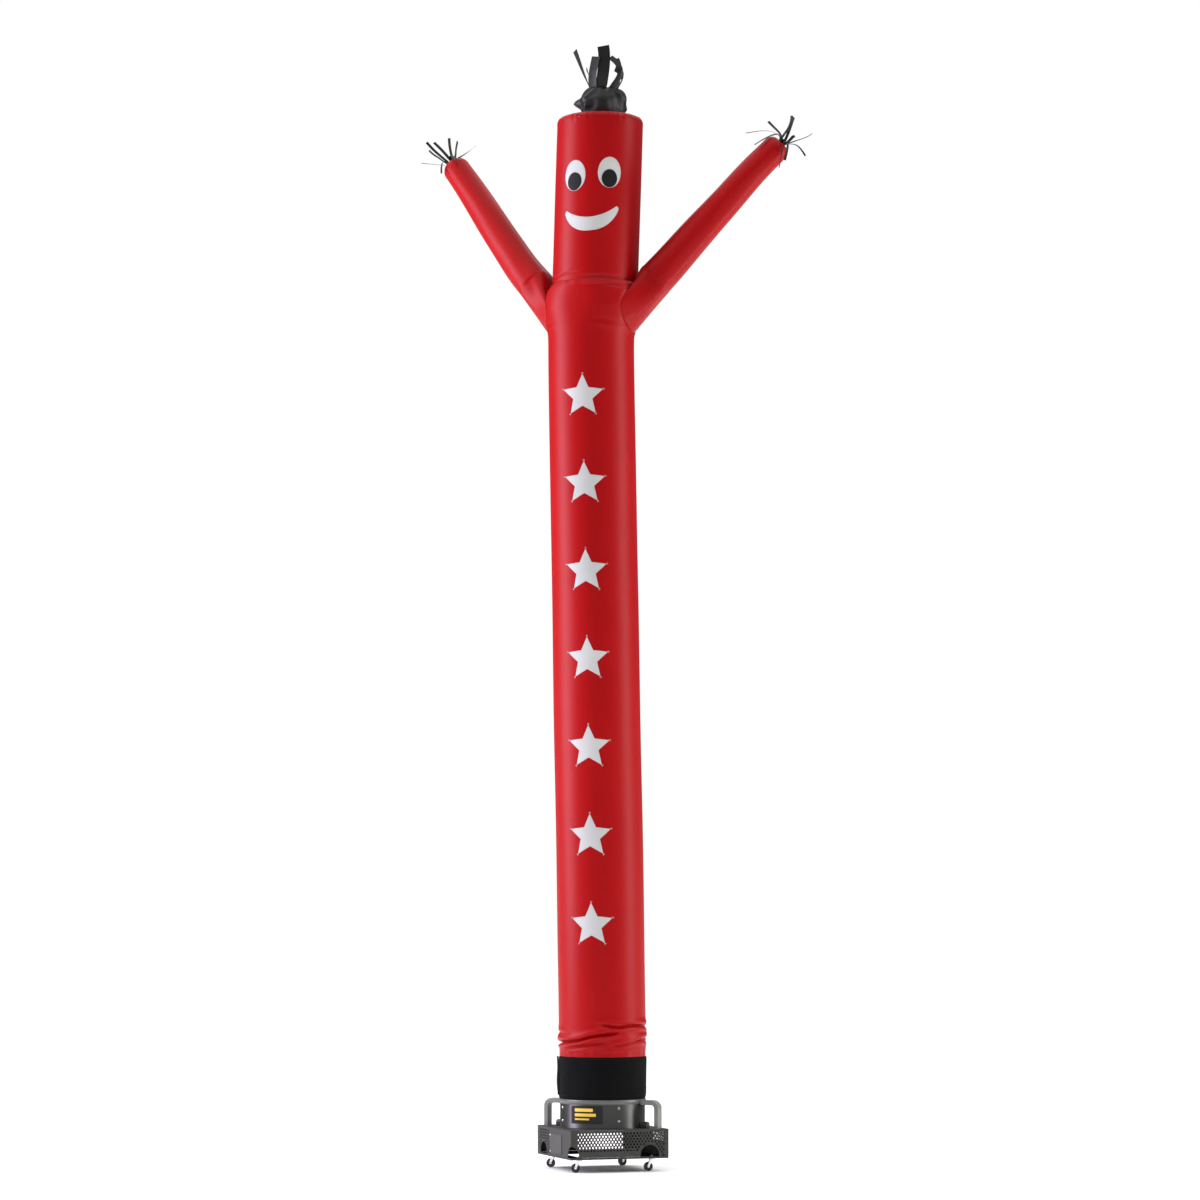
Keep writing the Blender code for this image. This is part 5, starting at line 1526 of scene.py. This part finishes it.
cover = from_bmesh("inlet_cover_plate", prism(
    [(-0.128, 0.092), (0.064, 0.092), (0.064, 0.195), (-0.128, 0.195)], 0.0004, 0.0024,
    lambda s, z, d: (-H - d, s, z)), COVER)
bevelled(cover, 0.0006, 2, 50)
put(cover, BOXM)
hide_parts("inlet_cover")
for level, z in (("low", 0.101), ("high", 0.186)):
    profile = [(0.0048, 0.0)] + [(0.0048 * math.cos(a), 0.0006 + 0.0025 * math.sin(a))
                                 for a in np.radians(np.linspace(0, 70, 6))]
    head_ = from_bmesh("cover_screw_head_" + level, lathe(profile, 24), ZINC)
    put(head_, BOXM @ Matrix.Translation((-H - 0.0026, 0.054, z)) @ Matrix.Rotation(-math.pi / 2, 4, "Y"))
    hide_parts("cover_screw_" + level)
    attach(head_, "root")

for obj in (duct, label, top_plate, base_frame, cover, cuff, strap, cuff_stitches):
    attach(obj, "root")

# ---- casters ----------------------------------------------------------------------------------------------
WHEEL_Z = 0.025 * math.cos(math.pi / 20)
TRAIL = 0.018
CASTERS = (("front", -90.0, -65.0), ("right", 0.0, -56.0), ("back", 90.0, -44.0), ("left", 180.0, -76.0))


def wheel_mesh():
    """Rubber tread on a dished hub."""
    tread = []
    for a in np.radians(np.linspace(-70, 70, 11)):
        tread.append((0.0205 + 0.0044 * math.cos(a), 0.0090 * math.sin(a) / math.sin(math.radians(70))))
    # the tread's crown is flat where it runs
    tread = [(min(r, 0.02465), x) for r, x in tread]
    tread = [(0.0188, -0.0088)] + tread + [(0.0188, 0.0088)]
    hub = [(0.0036, -0.0090), (0.0072, -0.0090), (0.0080, -0.0084), (0.0086, -0.0064), (0.0160, -0.0058),
           (0.0174, -0.0066), (0.0187, -0.0086), (0.0187, 0.0086), (0.0174, 0.0066), (0.0160, 0.0058),
           (0.0086, 0.0064), (0.0080, 0.0084), (0.0072, 0.0090), (0.0036, 0.0090)]
    k = 64
    parts = []
    for prof, mat in ((tread, RUBBER), (hub, HUB)):
        bm = loops_mesh([[(x, r * math.cos(w), r * math.sin(w))
                          for w in (2 * math.pi * i / k for i in range(k))] for r, x in prof], True)
        parts.append(from_bmesh("p", bm, mat))
    return joined("wheel", parts)


def fork_mesh():
    """Pressed fork with a ball race on top, its axle and two nuts."""
    top = BZ0 - 0.0010
    low = top - 0.0070
    race = [(0.0047, low), (0.0150, low), (0.0158, low + 0.0010), (0.0165, low + 0.0032),
            (0.0163, low + 0.0046), (0.0150, low + 0.0052), (0.0152, low + 0.0060), (0.0146, top),
            (0.0047, top)]
    parts = [from_bmesh("r", turned(race, 48), CHROME)]
    a0, a1 = 0.0110, 0.0130
    leg = [(-0.0090, low + 0.0040), (-0.0130, low - 0.0080), (-TRAIL - 0.0062, WHEEL_Z + 0.0030)]
    leg += [(-TRAIL + 0.0062 * math.cos(a), WHEEL_Z - 0.0002 + 0.0062 * math.sin(a))
            for a in np.radians(np.linspace(190, 350, 11))]
    leg += [(-TRAIL + 0.0075, WHEEL_Z + 0.0060), (0.0040, low - 0.0060), (0.0110, low + 0.0040)]
    for k in (1, -1):
        o = from_bmesh("l", prism(leg, min(k * a0, k * a1), max(k * a0, k * a1),
                                  lambda a, b, c: (c, a, b)), CHROME)
        bevelled(o, 0.0005, 2, 50)
        parts.append(o)
        nut = from_bmesh("n", lathe([(0.0048, 0.0), (0.0048, 0.0022), (0.0040, 0.0030)], 6), CHROME)
        bevelled(nut, 0.0003, 2, 40)
        put(nut, Matrix.Translation((k * a1, -TRAIL, WHEEL_Z)) @ Matrix.Rotation(k * math.pi / 2, 4, "Y"))
        parts.append(nut)
    axle = from_bmesh("a", lathe([(0.0030, -0.0131), (0.0030, 0.0131)], 24), CHROME)
    put(axle, Matrix.Translation((0, -TRAIL, WHEEL_Z)) @ Matrix.Rotation(math.pi / 2, 4, "Y"))
    parts.append(axle)
    return joined("fork", parts, CHROME)


def stem_mesh():
    top = BZ0 + 0.0020
    shaft = from_bmesh("s", lathe([(0.0070, 0.0591), (0.0070, 0.0622), (0.0040, 0.0626), (0.0040, top + 0.0140),
                                   (0.0032, top + 0.0150)], 32), ZINC)
    washer = from_bmesh("w", turned([(0.0041, top + 0.0003), (0.0100, top + 0.0003), (0.0100, top + 0.0016),
                                     (0.0041, top + 0.0016)], 40), ZINC)
    nut = from_bmesh("n", loops_mesh([circle(6, r, z) for r, z in (
        (0.0042, top + 0.0017), (0.0080, top + 0.0017), (0.0085, top + 0.0026), (0.0085, top + 0.0076),
        (0.0078, top + 0.0086), (0.0042, top + 0.0086))], True), ZINC)
    bevelled(nut, 0.0004, 2, 30)
    return joined("stem", [shaft, washer, nut], NUT)


for name, around, trail in CASTERS:
    w = math.radians(around)
    at = BLOWER @ Matrix.Translation((0.29 * math.cos(w), 0.29 * math.sin(w), 0)) \
        @ Matrix.Rotation(math.radians(trail), 4, "Z")
    stem = put(stem_mesh(), at)
    stem.name = "caster_stem_nut_" + name
    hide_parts("caster_stem_" + name)
    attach(stem, "root")
    fork = put(fork_mesh(), at)
    fork.name = "caster_fork_steel_" + name
    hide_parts("caster_fork_" + name)
    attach(fork, "swivel_" + name)
    wheel = put(wheel_mesh(), at @ Matrix.Translation((0, -TRAIL, WHEEL_Z)))
    wheel.name = "caster_wheel_disc_" + name
    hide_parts("caster_wheel_" + name)
    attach(wheel, "wheel_" + name)

# ---- cloth: what it stands for and rides on ----------------------------------------------------------------
for obj, node in ((torso, "torso"), (head, "head"), (crown, "crown"), (arms["right"][0], "arm_right"),
                  (arms["left"][0], "arm_left")):
    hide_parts(node)
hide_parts("hair_sleeve")
for obj in [torso, head, crown, arms["right"][0], arms["left"][0], sleeve, hair, ribbons["right"],
            ribbons["left"], seam_stitches, patch_stitches] + patches + stars:
    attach(obj, "root")

# ---- camera, light and ground ------------------------------------------------------------------------------
right = Vector((math.cos(CAM_TURN), math.sin(CAM_TURN), 0))
back = Vector((math.sin(CAM_TURN), -math.cos(CAM_TURN), 0))
middle = Vector((AX, AY, 0)) - right * 0.0136

cam_data = bpy.data.cameras.new("camera")
cam_data.lens = 110.64
cam_data.sensor_width = 36.0
cam_data.clip_end = 200.0
cam = bpy.data.objects.new("camera", cam_data)
scene.collection.objects.link(cam)
cam.location = middle + back * 20.0 + Vector((0, 0, 1.5))
cam.rotation_euler = (math.radians(90 + 4.483), 0, CAM_TURN)
scene.camera = cam


def area_light(name, turn, distance, height, width, tall, power, colour=(1, 1, 1)):
    """A soft panel that faces the figure; turn is in degrees from the camera's
    direction towards its right."""
    data = bpy.data.lights.new(name, "AREA")
    data.shape = "RECTANGLE"
    data.size = width
    data.size_y = tall
    data.energy = power
    data.color = colour
    obj = bpy.data.objects.new(name, data)
    scene.collection.objects.link(obj)
    a = math.radians(turn)
    way = back * math.cos(a) + right * math.sin(a)
    obj.location = Vector((AX, AY, 0)) + way * distance + Vector((0, 0, height))
    aim = Vector((AX, AY, height if abs(turn) > 1 else 3.0)) - obj.location
    obj.rotation_euler = aim.to_track_quat("-Z", "Y").to_euler()
    return obj


area_light("soft_left", -86, 5.0, 4.15, 2.2, 6.5, 455, (1.0, 0.93, 1.13))
area_light("soft_right", 84, 6.0, 3.3, 1.6, 8.2, 340)

# white all round to the eye; as a light it is a bright ceiling over dim walls
world = bpy.data.worlds.new("studio")
scene.world = world
world.use_nodes = True
wn, wl = world.node_tree.nodes, world.node_tree.links
bg = wn["Background"]
coord = wn.new("ShaderNodeTexCoord")
split = wn.new("ShaderNodeSeparateXYZ")
wl.new(coord.outputs["Generated"], split.inputs["Vector"])
ceiling = wn.new("ShaderNodeMapRange")
ceiling.interpolation_type = "SMOOTHSTEP"
ceiling.inputs["From Min"].default_value = 0.25
ceiling.inputs["From Max"].default_value = 0.65
ceiling.inputs["To Min"].default_value = 0.12
ceiling.inputs["To Max"].default_value = 1.50
wl.new(split.outputs["Z"], ceiling.inputs["Value"])
wl.new(ceiling.outputs["Result"], bg.inputs["Strength"])
bg.inputs["Color"].default_value = (1, 1, 1, 1)
seen = wn.new("ShaderNodeBackground")
seen.inputs["Color"].default_value = (1, 1, 1, 1)
seen.inputs["Strength"].default_value = 1.0
ray = wn.new("ShaderNodeLightPath")
mix = wn.new("ShaderNodeMixShader")
wl.new(ray.outputs["Is Camera Ray"], mix.inputs["Fac"])
wl.new(bg.outputs["Background"], mix.inputs[1])
wl.new(seen.outputs["Background"], mix.inputs[2])
wl.new(mix.outputs["Shader"], wn["World Output"].inputs["Surface"])

ground = new_object("ground", [(-60, -60, 0), (60, -60, 0), (60, 60, 0), (-60, 60, 0)], [(0, 1, 2, 3)], None,
                    smooth=False)
gm, gn, gl, gb = base_material("ground_white", 0.9, specular=0.1)
gc = gn.new("ShaderNodeTexCoord")
gt = noise_node(gn, gl, gc.outputs["Object"], 1.5, 2, 0.5)
vary_colour(gn, gl, gt.outputs["Fac"], (0.908, 0.905, 0.892), (0.920, 0.917, 0.905), gb)
ground.data.materials.append(gm)

scene.view_settings.view_transform = "Standard"
